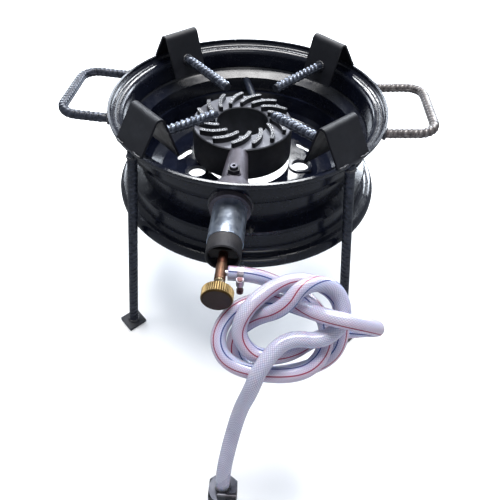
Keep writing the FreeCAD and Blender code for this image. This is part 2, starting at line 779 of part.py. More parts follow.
def make_collar(doc, S):
    spigot = S.pipe_end - S.spigot_length
    lip = 1.2
    points = [
        (-spigot, S.collar_bore / 2),
        (-(S.collar_end - lip), S.collar_bore / 2),
        (-S.collar_end, S.collar_bore / 2 + lip),
        (-S.collar_end, S.collar_dia / 2 - lip),
        (-(S.collar_end - lip), S.collar_dia / 2),
        (-S.pipe_end, S.collar_dia / 2),
        (-S.pipe_end, S.pipe_bore / 2),
        (-spigot, S.pipe_bore / 2),
    ]
    return on_feed_line(turned(doc, "end_collar", points), S)


def make_bracket(doc, S):
    """Cross strap in the collar's mouth, bored for the injector tube."""
    body = new_body(doc, "injector_bracket")
    face = S.collar_end - S.bracket_inset
    disc = new_sketch(body, "BracketDisc", "XZ_Plane", face - S.bracket_thick)
    add_circle(disc, (0 * face, 0 * face), S.collar_bore)
    add_circle(disc, (0 * face, 0 * face), S.injector_dia)
    pad(body, disc, S.bracket_thick)
    before = settle(doc, body)
    half = S.bracket_width / 2
    wide = S.collar_bore
    for name, sign in (("BracketUpper", 1), ("BracketLower", -1)):
        trim = new_sketch(body, name, "XZ_Plane", face - S.bracket_thick)
        add_path(trim, [(-wide, sign * half), (wide, sign * half), (wide, sign * wide), (-wide, sign * wide)])
        pocket(body, trim, 2 * S.bracket_thick, back=True)
        before = settle(doc, body, before)
    return on_feed_line(body, S)


def make_injector(doc, S):
    points = tube_section(S.injector_start, S.valve_start, S.injector_dia, S.injector_bore)
    return on_feed_line(turned(doc, "injector_tube", points), S)


def make_jet(doc, S):
    """Hexagonal jet on the injector's inner end."""
    body = new_body(doc, "gas_jet")
    tip = S.injector_start - S.jet_length
    hexagon = new_sketch(body, "JetHexagon", "XZ_Plane", tip)
    add_polygon(hexagon, (0, 0), S.jet_width)
    add_circle(hexagon, (0, 0), S.jet_bore)
    pad(body, hexagon, S.jet_length)
    return on_feed_line(body, S)


def make_valve_body(doc, S):
    """Turned body with the spindle's bore and a side port for the barb."""
    radius = S.valve_dia / 2
    bore = S.spindle_dia / 2 + S.running_gap
    points = [
        (-S.valve_start, S.injector_bore / 2),
        (-(S.barb_place - 4), S.injector_bore / 2),
        (-(S.barb_place - 4), bore),
        (-S.valve_end, bore),
        (-S.valve_end, radius),
        (-(S.valve_start + 1), radius),
        (-S.valve_start, radius - 1),
    ]
    body = turned(doc, "valve_body", points)
    before = settle(doc, body)
    port = new_sketch(body, "SidePort", "YZ_Plane", S.spindle_dia / 2 + 1)
    add_circle(port, (-S.barb_place, 0 * S.barb_place), S.barb_neck_dia)
    pocket(body, port, S.valve_dia, back=True)
    settle(doc, body, before)
    return on_feed_line(body, S)


def make_spindle(doc, S):
    radius = S.spindle_dia / 2
    points = [
        (-(S.barb_place + 5), 0 * radius),
        (-(S.barb_place + 8), radius),
        (-(S.knob_start + S.knob_thick - S.cap_thick), radius),
        (-(S.knob_start + S.knob_thick - S.cap_thick), 0 * radius),
    ]
    return on_feed_line(turned(doc, "valve_spindle", points), S)


def make_gland(doc, S):
    """Gland nut: narrow at the valve body, wide towards the knob."""
    bore = S.spindle_dia / 2 + S.running_gap
    small = S.valve_dia / 2 - 0.6
    wide = S.gland_dia / 2
    points = [
        (-S.valve_end, bore),
        (-S.gland_end, bore),
        (-S.gland_end, wide - 1),
        (-(S.gland_end - 1.5), wide),
        (-(S.gland_end - 4), wide),
        (-(S.valve_end + 2), small),
        (-S.valve_end, small),
    ]
    return on_feed_line(turned(doc, "gland_nut", points), S)


def make_knob(doc, S):
    radius = S.knob_dia / 2
    rear = S.knob_start + S.knob_thick
    bevel = 1.6
    points = [
        (-S.knob_start, S.spindle_dia / 2),
        (-(rear - S.cap_thick), S.spindle_dia / 2),
        (-(rear - S.cap_thick), S.cap_dia / 2),
        (-rear, S.cap_dia / 2),
        (-rear, radius - bevel),
        (-(rear - bevel), radius),
        (-(S.knob_start + bevel), radius),
        (-S.knob_start, radius - bevel),
    ]
    body = turned(doc, "valve_knob", points)
    before = settle(doc, body)
    flute = new_sketch(body, "Flute", "XZ_Plane", S.knob_start - 1)
    half = math.pi * (S.knob_dia.value / 2) / S.knob_flutes.value * 0.72
    root = radius - S.flute_depth
    add_path(flute, [(root, 0 * radius), (radius + 0.3, half), (radius + 0.3, -half)])
    cut = pocket(body, flute, S.knob_thick + 2, back=True)
    repeat(body, [cut], S.knob_flutes, "Y_Axis")
    settle(doc, body, before)
    return on_feed_line(body, S)


def make_cap(doc, S):
    rear = S.knob_start + S.knob_thick
    points = [
        (-(rear - S.cap_thick), 0 * S.cap_dia),
        (-rear, 0 * S.cap_dia),
        (-rear, S.cap_dia / 2),
        (-(rear - S.cap_thick), S.cap_dia / 2),
    ]
    return on_feed_line(turned(doc, "knob_cap", points), S)


def barb_ridges(top, count, pitch, radius, depth):
    """Saw-tooth outline of a barb from its free end back."""
    points = []
    for index in range(count):
        points.append((radius - depth, top - index * pitch))
        points.append((radius, top - index * pitch - pitch * 0.8))
    return points


def make_hose_barb(doc, S):
    """Side barb of the valve, turned about X."""
    start = S.spindle_dia / 2 + 1
    hose = HOSE_ROUTE[0][0] - S.burner_offset
    tip = hose + S.barb_depth
    neck = S.barb_neck_dia / 2
    ridge = S.barb_dia / 2
    pitch = S.barb_depth / 3
    points = [(start, S.barb_bore / 2), (tip, S.barb_bore / 2), (tip, ridge - 0.9)]
    points += [(tip - pitch * 0.8, ridge), (tip - pitch, ridge - 0.9), (tip - pitch * 1.8, ridge)]
    points += [(tip - pitch * 2, ridge - 0.9), (tip - pitch * 2.8, ridge), (hose, neck), (start, neck)]
    body = turned(doc, "hose_barb", points, "H_Axis", "XZ_Plane")
    place(body, x=S.burner_offset, y=-S.barb_place, z=S.feed_height)
    return body


# ---------------------------------------------------------------- hose and its ends

def route_point(index):
    return Vector(*HOSE_ROUTE[index])


def bend_at(index):
    """Tangent arc at one corner of the route: its start, middle, end and radius."""
    corner = route_point(index)
    before = route_point(index - 1) - corner
    after = route_point(index + 1) - corner
    turn = math.pi - before.getAngle(after)
    cut = 0.45 * min(before.Length, after.Length)
    radius = cut / math.tan(turn / 2)
    start = corner + before.normalize() * cut
    finish = corner + after.normalize() * cut
    inward = ((start + finish) * 0.5 - corner).normalize()
    middle = corner + inward * (radius / math.cos(turn / 2) - radius)
    return start, middle, finish, radius


def run_middle(index):
    return (route_point(index) + route_point(index + 1)) * 0.5


def hose_path(start, corners, finish):
    """Edges of the route through some corners, from one point to another."""
    edges = []
    here = start
    for index in corners:
        bend = bend_at(index)
        edges.append(Part.LineSegment(here, bend[0]).toShape())
        edges.append(Part.Arc(bend[0], bend[1], bend[2]).toShape())
        here = bend[2]
    edges.append(Part.LineSegment(here, finish).toShape())
    return edges


def hose_solid(S, edges):
    """A round tube along the edges; its volume has to be its section times its length."""
    wire = Part.Wire(edges)
    start = edges[0].valueAt(edges[0].FirstParameter)
    along = edges[0].tangentAt(edges[0].FirstParameter)
    ring = Part.Wire([Part.Circle(start, along, S.hose_dia.value / 2).toShape()])
    shell = Part.BRepOffsetAPI.MakePipeShell(wire)
    shell.add(ring)
    shell.build()
    shell.makeSolid()
    solid = shell.shape()
    expected = math.pi * (S.hose_dia.value / 2) ** 2 * wire.Length
    if abs(solid.Volume - expected) > 0.01 * expected:
        raise RuntimeError("hose: volume %.0f, expected %.0f" % (solid.Volume, expected))
    return solid, wire.Length


def blind_bore(S, end, direction, depth):
    return Part.makeCylinder(S.barb_dia.value / 2, depth, end, direction)


def add_shape(doc, name, shape):
    feature = doc.addObject("Part::Feature", name)
    feature.Shape = shape
    feature.Label = name
    return feature


def hose_points(step=2.0):
    """Points along the whole route's centre line."""
    last = len(HOSE_ROUTE) - 1
    edges = hose_path(route_point(0), range(1, last), route_point(last))
    points = []
    for edge in edges:
        count = max(2, int(edge.Length / step))
        points += edge.discretize(Number=count)[:-1]
    return points + [route_point(last)]


def least_self_gap(S, points, apart=45.0):
    """Least gap between two stretches of the hose that are not neighbours along it."""
    travelled = [0.0]
    for before, after in zip(points, points[1:]):
        travelled.append(travelled[-1] + before.distanceToPoint(after))
    least = FAR
    for first in range(len(points)):
        for second in range(first + 1, len(points)):
            if travelled[second] - travelled[first] > apart:
                least = min(least, points[first].distanceToPoint(points[second]))
    return least - S.hose_dia.value


def make_hose(doc, S):
    """Lead from the valve, loose coil and tail, which meet face to face."""
    last = len(HOSE_ROUTE) - 1
    lead_end = run_middle(LEAD_RUNS)
    tail_start = run_middle(TAIL_RUN)
    lead, lead_length = hose_solid(S, hose_path(route_point(0), range(1, LEAD_RUNS + 1), lead_end))
    coil, coil_length = hose_solid(S, hose_path(lead_end, range(LEAD_RUNS + 1, TAIL_RUN + 1), tail_start))
    tail, tail_length = hose_solid(S, hose_path(tail_start, range(TAIL_RUN + 1, last), route_point(last)))
    lead = lead.cut(blind_bore(S, route_point(0), X_AXIS, S.barb_depth.value))
    tail = tail.cut(blind_bore(S, route_point(last), Z_AXIS, S.tail_barb_depth.value))
    radii = [bend_at(index)[3] for index in range(1, last)]
    print("hose radii:", " ".join("%.0f" % radius for radius in radii))
    print("hose length: %.0f" % (lead_length + coil_length + tail_length))
    print("hose least gap to itself: %.2f" % least_self_gap(S, hose_points()))
    return [
        add_shape(doc, "hose_lead", lead),
        add_shape(doc, "hose_coil", coil),
        add_shape(doc, "hose_tail", tail),
    ]


def make_clip(doc, S, name, centre, axis, side):
    """Worm-drive clip round the hose, and its screw beside it. The side is the screw's offset direction."""
    radius = S.hose_dia.value / 2
    outer = radius + S.clip_band.value
    width = S.clip_width.value
    half = axis * (width / 2)
    ring = Part.makeCylinder(outer, width, centre - half, axis)
    screw_along = axis.cross(side)
    reach = outer + S.clip_screw_dia.value / 2 - 0.4
    middle = centre + side * reach
    length = S.clip_screw_length.value
    screw = S.clip_screw_dia.value / 2
    house = Part.makeCylinder(screw + 1.1, length * 0.5, middle - screw_along * (length * 0.25), screw_along)
    bore = Part.makeCylinder(screw, length + 4, middle - screw_along * (length / 2 + 2), screw_along)
    hose = Part.makeCylinder(radius, 4 * width, centre - axis * (2 * width), axis)
    band = ring.fuse(house).cut(hose).cut(bore)
    shaft = Part.makeCylinder(screw, length, middle - screw_along * (length * 0.3), screw_along)
    shaft = shaft.cut(Part.makeCylinder(outer, 4 * width, centre - axis * (2 * width), axis))
    head = Part.makeCylinder(screw + 0.8, 4, middle + screw_along * (length * 0.7), screw_along)
    return [add_shape(doc, name, band), add_shape(doc, name + "_screw", shaft.fuse(head).removeSplitter())]


def make_clips(doc, S):
    last = len(HOSE_ROUTE) - 1
    inlet = route_point(0) + X_AXIS * (S.clip_width.value / 2 + 1)
    outlet = route_point(last) + Z_AXIS * (S.clip_width.value / 2 + 5)
    pieces = make_clip(doc, S, "inlet_clip", inlet, X_AXIS, -Y_AXIS)
    pieces += make_clip(doc, S, "outlet_clip", outlet, Z_AXIS, -Y_AXIS)
    return pieces


def make_nipple(doc, S):
    """Nipple in the hose's free end: barb, neck, flange inside the nut, and the nose on the floor."""
    end = HOSE_ROUTE[-1]
    neck = S.nipple_neck_dia / 2
    flange = S.nut_bore / 2 - 0.4
    flange_top = S.nut_top - S.nut_cover
    nose = S.nipple_nose_dia / 2
    ridge = S.barb_dia / 2
    bore = S.barb_bore / 2
    pitch = S.tail_barb_depth / 3
    tip = end[2] + S.tail_barb_depth
    points = [
        (bore, 0 * tip),
        (nose - 2, 0 * tip),
        (nose, 2 + 0 * tip),
        (nose, flange_top - S.nipple_flange - 3),
        (flange, flange_top - S.nipple_flange),
        (flange, flange_top),
        (neck, flange_top),
        (neck, end[2] + 0 * tip),
        (ridge - 1, end[2] + 0 * tip),
        (ridge, tip - pitch * 2.8),
        (ridge - 1, tip - pitch * 2),
        (ridge, tip - pitch * 1.8),
        (ridge - 1, tip - pitch),
        (ridge, tip - pitch * 0.8),
        (ridge - 1, tip),
        (bore, tip),
    ]
    body = turned(doc, "tail_nipple", points, "V_Axis", "XZ_Plane")
    place(body, x=end[0], y=end[1])
    return body


def make_swivel_nut(doc, S):
    """Hexagonal nut that turns on the nipple's neck, with bevelled corners."""
    end = HOSE_ROUTE[-1]
    body = new_body(doc, "swivel_nut")
    hexagon = new_sketch(body, "NutHexagon", "XY_Plane", S.nut_bottom)
    add_polygon(hexagon, (0, 0), S.nut_width, turn=30)
    pad(body, hexagon, S.nut_top - S.nut_bottom)
    before = settle(doc, body)
    inside = S.nut_bore / 2
    hole = S.nipple_neck_dia / 2 + S.running_gap
    ceiling = S.nut_top - S.nut_cover + S.running_gap
    bore = new_sketch(body, "NutBore", "XZ_Plane")
    add_path(bore, [
        (0 * inside, S.nut_bottom - 1),
        (inside, S.nut_bottom - 1),
        (inside, ceiling),
        (hole, ceiling),
        (hole, S.nut_top + 1),
        (0 * inside, S.nut_top + 1),
    ])
    revolve(body, bore, cut=True)
    before = settle(doc, body, before)
    corner = S.nut_width / 2 * 1.1547
    for name, edge, inner in (("NutUpperBevel", S.nut_top, -1), ("NutLowerBevel", S.nut_bottom, 1)):
        bevel = new_sketch(body, name, "XZ_Plane")
        add_path(bevel, [
            (S.nut_width / 2, edge),
            (corner + 1, edge),
            (corner + 1, edge + inner * 3),
            (corner, edge + inner * 2),
        ])
        revolve(body, bevel, cut=True)
        before = settle(doc, body, before)
    place(body, x=end[0], y=end[1])
    return body


# ---------------------------------------------------------------- legs, rests, prongs and handles

CORNERS = (("front_left", 225), ("front_right", 315), ("rear_left", 135), ("rear_right", 45))


def make_leg(doc, S, corner, angle):
    """Leaning bar from the foot plate to the underside of the upper flange."""
    body = new_body(doc, "leg_" + corner)
    circle = new_sketch(body, "LegCircle", "XY_Plane")
    tilt(circle, -Y_AXIS, S.leg_lean, {
        "x": S.leg_foot_radius + S.bar_dia * S.leg_lean,
        "z": S.foot_thick - S.bar_dia,
    })
    add_circle(circle, (0 * S.bar_dia, 0 * S.bar_dia), S.bar_dia)
    pad(body, circle, S.rim_top + S.bar_dia)
    before = settle(doc, body)
    for name, height in (("LegSole", S.foot_thick), ("LegTop", S.rim_top - S.flange_depth / 2)):
        level = new_sketch(body, name, "XY_Plane", height)
        add_circle(level, (S.leg_foot_radius, 0 * S.bar_dia), S.rim_dia)
        pocket(body, level, 4 * S.bar_dia, back=name == "LegTop")
        before = settle(doc, body, before)
    under, bends = flange_underside(S)
    edge = new_sketch(body, "FlangeSeat", "XZ_Plane")
    points = [from_top(S, point) for point in under[:3]]
    points += [(S.seat_radius - 10, S.rim_top - S.flange_depth), (S.seat_radius - 10, S.rim_top + 10)]
    points += [(S.rim_radius, S.rim_top + 10)]
    add_path(edge, points, {1: from_top(S, bends[1])})
    revolve(body, edge, cut=True)
    settle(doc, body, before)
    place(body, angle=angle)
    return body


def make_foot(doc, S, corner, angle):
    body = new_body(doc, "foot_" + corner)
    half = S.foot_size / 2
    square = new_sketch(body, "FootSquare", "XY_Plane")
    near = S.leg_foot_radius - half
    far = S.leg_foot_radius + half
    add_path(square, [(near, -half), (far, -half), (far, half), (near, half)])
    pad(body, square, S.foot_thick)
    place(body, angle=angle)
    return body


def leg_side(direction, centre, corner):
    """Unit vector square to a leg of the rest, towards the inside of the bend."""
    side = Vector(-direction.y, direction.x, 0)
    return side if side.dot(centre - corner) > 0 else -side


def rest_outline(S):
    """Outer line of a bent pot rest's section: foot on the rim's edge, two ends of the ridge's bend, inner foot."""
    bend = S.rest_bend.value
    outer_foot = Vector(S.rim_radius.value, S.rim_top.value, 0)
    inner_foot = Vector(S.rest_inner_radius.value, S.rim_top.value - S.rest_inner_drop.value, 0)
    ridge = Vector(S.rest_ridge_radius.value, S.rim_top.value + S.rest_rise.value, 0)
    corner = ridge
    for attempt in range(8):
        outer = (outer_foot - corner).normalize()
        inner = (inner_foot - corner).normalize()
        bisector = (outer + inner).normalize()
        reach = bend / math.sin(outer.getAngle(inner) / 2)
        corner = ridge - bisector * (reach - bend)
    centre = corner + bisector * reach
    outer_side = leg_side(outer, centre, corner)
    inner_side = leg_side(inner, centre, corner)
    start = centre - outer_side * bend
    finish = centre - inner_side * bend
    return outer_foot, start, finish, inner_foot, outer_side, inner_side, centre, bisector


def make_rest(doc, S, corner_name, angle):
    """Bent plate: outer leg on the rim's edge, round ridge, inner leg inside the rim."""
    body = new_body(doc, "rest_" + corner_name)
    outer_foot, start, finish, inner_foot, outer_side, inner_side, centre, bisector = rest_outline(S)
    bend = S.rest_bend.value
    thick = S.rest_thick.value
    points = [
        outer_foot,
        start,
        finish,
        inner_foot,
        inner_foot + inner_side * thick,
        finish + inner_side * thick,
        start + outer_side * thick,
        outer_foot + Vector(-thick / abs(outer_side.x), 0, 0),
    ]
    bends = {
        1: pair(centre - bisector * bend),
        5: pair(centre - bisector * (bend - thick)),
    }
    section = new_sketch(body, "RestSection", "XZ_Plane")
    add_path(section, [pair(point) for point in points], bends)
    pad(body, section, S.rest_width, middle=True)
    place(body, angle=angle)
    return body


def make_prong(doc, S, corner_name, angle, reach):
    """Bar from the pot rest's inner leg towards the burner."""
    body = new_body(doc, "prong_" + corner_name)
    circle = new_sketch(body, "ProngCircle", "YZ_Plane")
    tilt(circle, -X_AXIS, S.prong_slope, {"y": S.prong_height, "z": reach})
    add_circle(circle, (0 * S.bar_dia, 0 * S.bar_dia), S.bar_dia)
    pad(body, circle, S.rest_ridge_radius - reach)
    before = settle(doc, body)
    outer_foot, start, finish, inner_foot, outer_side, inner_side, centre, bisector = rest_outline(S)
    inner = (inner_foot - finish).normalize()
    low = inner_foot + inner * 30
    high = finish - inner * 30
    away = X_AXIS * S.rest_inner_radius.value
    trim = new_sketch(body, "RestFace", "XZ_Plane")
    add_path(trim, [pair(low), pair(low + away), pair(high + away), pair(high)])
    pocket(body, trim, 4 * S.bar_dia, middle=True)
    settle(doc, body, before)
    place(body, angle=angle)
    return body


def make_handle(doc, S, side, angle):
    """U-shaped bar whose arms end on the rim's flange."""
    body = new_body(doc, "handle_" + side)
    half = S.handle_span / 2
    bend = S.handle_bend
    root = S.seat_radius - 2 * S.bar_dia
    length = S.handle_reach - root
    corner = length - bend
    mid = bend * (1 - math.sqrt(0.5))
    spine = new_sketch(body, "HandleSpine", "XY_Plane")
    add_path(spine, [
        (0 * root, -half),
        (corner, -half),
        (length, -(half - bend)),
        (length, half - bend),
        (corner, half),
        (0 * root, half),
    ], {1: (length - mid, -(half - mid)), 3: (length - mid, half - mid)}, closed=False)
    ring = new_sketch(body, "HandleRing", "YZ_Plane")
    add_circle(ring, (-half, 0 * half), S.bar_dia)
    pipe = body.newObject("PartDesign::AdditivePipe", "HandlePipe")
    pipe.Profile = ring
    pipe.Spine = (spine, ["Edge%d" % (index + 1) for index in range(5)])
    pipe.Transition = "Round corner"
    before = settle(doc, body)
    edge = new_sketch(body, "FlangeEdge", "XY_Plane")
    edge.AttachmentOffset = Placement(Vector(), Rotation(Y_AXIS, S.handle_tilt.value))
    add_circle(edge, (-root, 0 * half), S.rim_dia)
    pocket(body, edge, FAR, middle=True)
    settle(doc, body, before)
    turn = Rotation(Z_AXIS, angle).multiply(Rotation(Y_AXIS, -S.handle_tilt.value))
    rise = (S.rim_radius - root) * math.tan(math.radians(S.handle_tilt.value))
    start = Rotation(Z_AXIS, angle).multVec(Vector(root.value, 0, 0))
    body.Placement = Placement(Vector(start.x, start.y, S.handle_height.value - rise.value), turn)
    return body


# ---------------------------------------------------------------- build, check and write

def build_all(doc, S):
    pieces = [make_rim(doc, S), make_disc(doc, S)]
    pieces += [make_burner_body(doc, S), make_burner_top(doc, S), make_rear_bar(doc, S)]
    pieces += [make_mixing_tube(doc, S), make_lock_nut(doc, S), make_lock_screw(doc, S)]
    pieces += [make_pipe(doc, S), make_collar(doc, S), make_bracket(doc, S)]
    pieces += [make_injector(doc, S), make_jet(doc, S), make_valve_body(doc, S)]
    pieces += [make_spindle(doc, S), make_gland(doc, S), make_knob(doc, S), make_cap(doc, S)]
    pieces += [make_hose_barb(doc, S)]
    pieces += make_hose(doc, S)
    pieces += make_clips(doc, S)
    pieces += [make_nipple(doc, S), make_swivel_nut(doc, S)]
    reaches = {
        "front_left": S.prong_reach_fl,
        "front_right": S.prong_reach_fr,
        "rear_left": S.prong_reach_rl,
        "rear_right": S.prong_reach_rr,
    }
    for corner, angle in CORNERS:
        pieces.append(make_leg(doc, S, corner, angle))
        pieces.append(make_foot(doc, S, corner, angle))
        pieces.append(make_rest(doc, S, corner, angle))
        pieces.append(make_prong(doc, S, corner, angle, reaches[corner]))
    pieces += [make_handle(doc, S, "right", 0), make_handle(doc, S, "left", 180)]
    return pieces


def check_all(doc, pieces):
    doc.recompute()
    for item in doc.Objects:
        if "Invalid" in item.State or "Error" in item.State:
            raise RuntimeError("%s failed: %s" % (item.Name, item.State))
    for piece in pieces:
        if piece.Shape.isNull() or not piece.Shape.isValid() or not piece.Shape.Solids:
            raise RuntimeError("%s has no valid shape" % piece.Label)


def write_all(pieces):
    os.makedirs("parts", exist_ok=True)
    for piece in pieces:
        piece.Shape.exportStep(os.path.join("parts", piece.Label + ".step"))
        print("%-22s %d solid(s), %.0f mm3" % (piece.Label, len(piece.Shape.Solids), piece.Shape.Volume))


def main():
    doc = FreeCAD.newDocument("RimStove")
    sizes = Sizes(make_sheet(doc))
    pieces = build_all(doc, sizes)
    check_all(doc, pieces)
    write_all(pieces)


main()
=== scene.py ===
import math
import bpy
from mathutils import Matrix, Vector


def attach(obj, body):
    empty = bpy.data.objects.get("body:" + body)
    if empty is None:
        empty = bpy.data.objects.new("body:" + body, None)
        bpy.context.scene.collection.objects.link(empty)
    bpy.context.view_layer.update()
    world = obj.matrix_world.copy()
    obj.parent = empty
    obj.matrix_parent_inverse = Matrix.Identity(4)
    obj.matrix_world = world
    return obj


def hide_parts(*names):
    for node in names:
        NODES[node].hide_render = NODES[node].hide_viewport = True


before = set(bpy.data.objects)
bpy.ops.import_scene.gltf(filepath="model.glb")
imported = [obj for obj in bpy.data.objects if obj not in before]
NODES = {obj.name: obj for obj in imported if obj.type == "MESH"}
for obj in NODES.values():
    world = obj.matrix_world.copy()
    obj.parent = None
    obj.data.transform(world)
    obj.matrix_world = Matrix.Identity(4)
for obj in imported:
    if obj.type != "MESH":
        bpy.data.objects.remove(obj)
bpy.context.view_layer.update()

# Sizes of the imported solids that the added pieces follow, in metres and degrees.
CORNERS = (("front_left", 225), ("front_right", 315), ("rear_left", 135), ("rear_right", 45))
RIM_RADIUS = 0.195
BAR_RADIUS = 0.006
FEED_X = -0.008
FEED_HEIGHT = 0.265
LEG_FOOT_RADIUS = 0.2306
LEG_LEAN = 0.133
PRONG_HEIGHT = 0.311
PRONG_SLOPE = 0.07
PRONG_ROOT = 0.1445
PRONG_REACH = {"front_left": 0.058, "front_right": 0.052, "rear_left": 0.046, "rear_right": 0.052}
REST_FACE = (-0.28099, -0.95971)
HANDLE_HALF_SPAN = 0.061
HANDLE_BEND = 0.024
HANDLE_ROOT = 0.1574
HANDLE_LENGTH = 0.0956
HANDLE_HEIGHT = 0.308
HANDLE_TILT = 4
RIDGE_COUNT = 15
RIDGE_INNER = 0.042
RIDGE_OUTER = 0.067
RIDGE_SWEEP = -24
RIDGE_BOW = 0.0035
RIDGE_TOP = 0.284
PORT_SHARES = (0.08, 0.29, 0.5, 0.71, 0.92)


# ---------------------------------------------------------------- materials

class Paint:
    """A node material being made: its nodes, links and principled shader."""

    def __init__(self, name, **sockets):
        self.mat = bpy.data.materials.new(name)
        self.mat.use_nodes = True
        self.tree = self.mat.node_tree
        self.shader = self.tree.nodes["Principled BSDF"]
        for key, value in sockets.items():
            self.shader.inputs[key.replace("_", " ")].default_value = value

    def node(self, kind, inputs=None, **settings):
        made = self.tree.nodes.new("ShaderNode" + kind)
        for key, value in settings.items():
            setattr(made, key, value)
        for key, value in (inputs or {}).items():
            self.feed(made.inputs[key], value)
        return made

    def feed(self, socket, value):
        if isinstance(value, bpy.types.NodeSocket):
            self.tree.links.new(value, socket)
        else:
            socket.default_value = value

    def place(self):
        return self.node("TexCoord").outputs["Object"]

    def noise(self, scale, detail=3.0, rough=0.55, place=None):
        made = self.node("TexNoise", {"Scale": scale, "Detail": detail, "Roughness": rough})
        self.feed(made.inputs["Vector"], place or self.place())
        return made.outputs["Fac"]

    def span(self, value, low, high, to_low=0.0, to_high=1.0, smooth=False):
        made = self.node("MapRange", {"Value": value, "From Min": low, "From Max": high,
                                      "To Min": to_low, "To Max": to_high})
        made.interpolation_type = "SMOOTHSTEP" if smooth else "LINEAR"
        return made.outputs["Result"]

    def math(self, operation, first, second=0.0, third=None):
        made = self.node("Math", operation=operation)
        self.feed(made.inputs[0], first)
        self.feed(made.inputs[1], second)
        if third is not None:
            self.feed(made.inputs[2], third)
        return made.outputs["Value"]

    def mix(self, factor, first, second):
        made = self.node("Mix", data_type="RGBA")
        self.feed(made.inputs[0], factor)
        self.feed(made.inputs[6], first)
        self.feed(made.inputs[7], second)
        return made.outputs[2]

    def split(self, vector):
        return self.node("SeparateXYZ", {"Vector": vector}).outputs

    def colour(self, value):
        self.feed(self.shader.inputs["Base Color"], value)

    def rough(self, value):
        self.feed(self.shader.inputs["Roughness"], value)

    def bump(self, height, strength, distance):
        made = self.node("Bump", {"Strength": strength, "Distance": distance, "Height": height})
        self.feed(self.shader.inputs["Normal"], made.outputs["Normal"])


def rgb(red, green, blue):
    return (red, green, blue, 1.0)


def enamel(name, base, dust, rough, coat=0.0, grain=0.35, wear=0.0):
    """Brushed or sprayed black paint over steel: thickness waves, dust and paler rubbed spots."""
    paint = Paint(name, Coat_Weight=coat, Coat_Roughness=0.12, Specular_IOR_Level=0.42)
    waves = paint.noise(55.0, 4.0)
    fine = paint.noise(420.0, 3.0)
    veil = paint.span(paint.noise(16.0, 6.0, 0.7), 0.42, 0.78, smooth=True)
    colour = paint.mix(veil, rgb(*base), rgb(*dust))
    if wear:
        rub = paint.span(paint.noise(230.0, 8.0, 0.75), 0.62, 0.74)
        rub = paint.math("MULTIPLY", rub, wear)
        colour = paint.mix(rub, colour, rgb(0.20, 0.185, 0.18))
    paint.colour(colour)
    paint.rough(paint.span(waves, 0.3, 0.7, rough - 0.07, rough + 0.1))
    paint.bump(paint.math("MULTIPLY_ADD", fine, 0.3, waves), grain, 0.0006)
    return paint.mat


def cast_iron(name, low, high, rough, grit=0.5):
    """Sand-cast iron: fine grit, cloudy oxide."""
    paint = Paint(name, Metallic=0.35)
    fine = paint.noise(900.0, 4.0, 0.7)
    cloud = paint.noise(28.0, 5.0)
    paint.colour(paint.mix(paint.span(cloud, 0.35, 0.7, smooth=True), rgb(*low), rgb(*high)))
    paint.rough(paint.span(fine, 0.3, 0.7, rough - 0.1, rough + 0.12))
    paint.bump(paint.math("MULTIPLY_ADD", cloud, 0.4, fine), grit, 0.0005)
    return paint.mat


def metal(name, low, high, rough, scale=30.0, metallic=1.0, spot=None):
    """Turned or drawn metal: drifting tint, fine scratches, spots of oxide."""
    paint = Paint(name, Metallic=metallic)
    drift = paint.noise(scale, 5.0, 0.6)
    fine = paint.noise(1500.0, 3.0, 0.7)
    colour = paint.mix(paint.span(drift, 0.35, 0.68, smooth=True), rgb(*low), rgb(*high))
    if spot:
        dots = paint.span(paint.noise(scale * 6, 6.0, 0.8), 0.58, 0.68)
        colour = paint.mix(paint.math("MULTIPLY", dots, 0.7), colour, rgb(*spot))
    paint.colour(colour)
    paint.rough(paint.span(fine, 0.25, 0.75, rough - 0.08, rough + 0.12))
    paint.bump(paint.math("MULTIPLY_ADD", drift, 0.5, fine), 0.15, 0.0003)
    return paint.mat


def burner_plate():
    """Burner top: grey plate, painted shade on the ridge sides and on all faces below a set
    height, and ridge tops rubbed a little brighter.
    """
    paint = Paint("BurnerPlate", Metallic=0.3)
    place = paint.place()
    height = paint.split(place)["Z"]
    upward = paint.split(paint.node("NewGeometry").outputs["Normal"])["Z"]
    grit = paint.noise(800.0, 4.0, 0.7, place)
    cloud = paint.noise(40.0, 5.0, 0.6, place)
    plate = paint.mix(paint.span(cloud, 0.3, 0.7), rgb(0.075, 0.08, 0.10), rgb(0.14, 0.145, 0.17))
    # painted shade: near-black colour for faces that do not face up and for faces below a set
    # height
    side = rgb(0.012, 0.013, 0.017)
    rubbed = paint.span(grit, 0.35, 0.62)
    top = paint.mix(rubbed, rgb(0.045, 0.047, 0.055), rgb(0.13, 0.135, 0.15))
    # faces turned away from up take the painted shade
    flat = paint.span(upward, 0.55, 0.9)
    colour = paint.mix(flat, side, plate)
    crest = paint.math("MULTIPLY", paint.span(height, 0.2832, 0.2839), flat)
    colour = paint.mix(crest, colour, top)
    # painted shade on every face below this height
    painted_shade_below = paint.span(height, 0.2745, 0.2752)
    paint.colour(paint.mix(painted_shade_below, side, colour))
    paint.rough(paint.span(grit, 0.3, 0.7, 0.32, 0.55))
    paint.bump(paint.math("MULTIPLY_ADD", cloud, 0.4, grit), 0.35, 0.0004)
    return paint.mat


def galvanised():
    """Hot-dip zinc: spangle crystals of different tint and gloss."""
    paint = Paint("Zinc", Metallic=1.0)
    place = paint.place()
    crystal = paint.node("TexVoronoi", {"Scale": 190.0, "Vector": place})
    shade = paint.split(crystal.outputs["Color"])["X"]
    cloud = paint.noise(45.0, 5.0, place=place)
    tint = paint.mix(paint.span(shade, 0.0, 1.0), rgb(0.56, 0.65, 0.80), rgb(0.72, 0.80, 0.92))
    tint = paint.mix(paint.span(cloud, 0.45, 0.8), tint, rgb(0.58, 0.67, 0.82))
    paint.colour(tint)
    paint.rough(paint.span(shade, 0.0, 1.0, 0.30, 0.38))
    paint.bump(paint.math("MULTIPLY_ADD", shade, 0.15, cloud), 0.05, 0.0003)
    return paint.mat


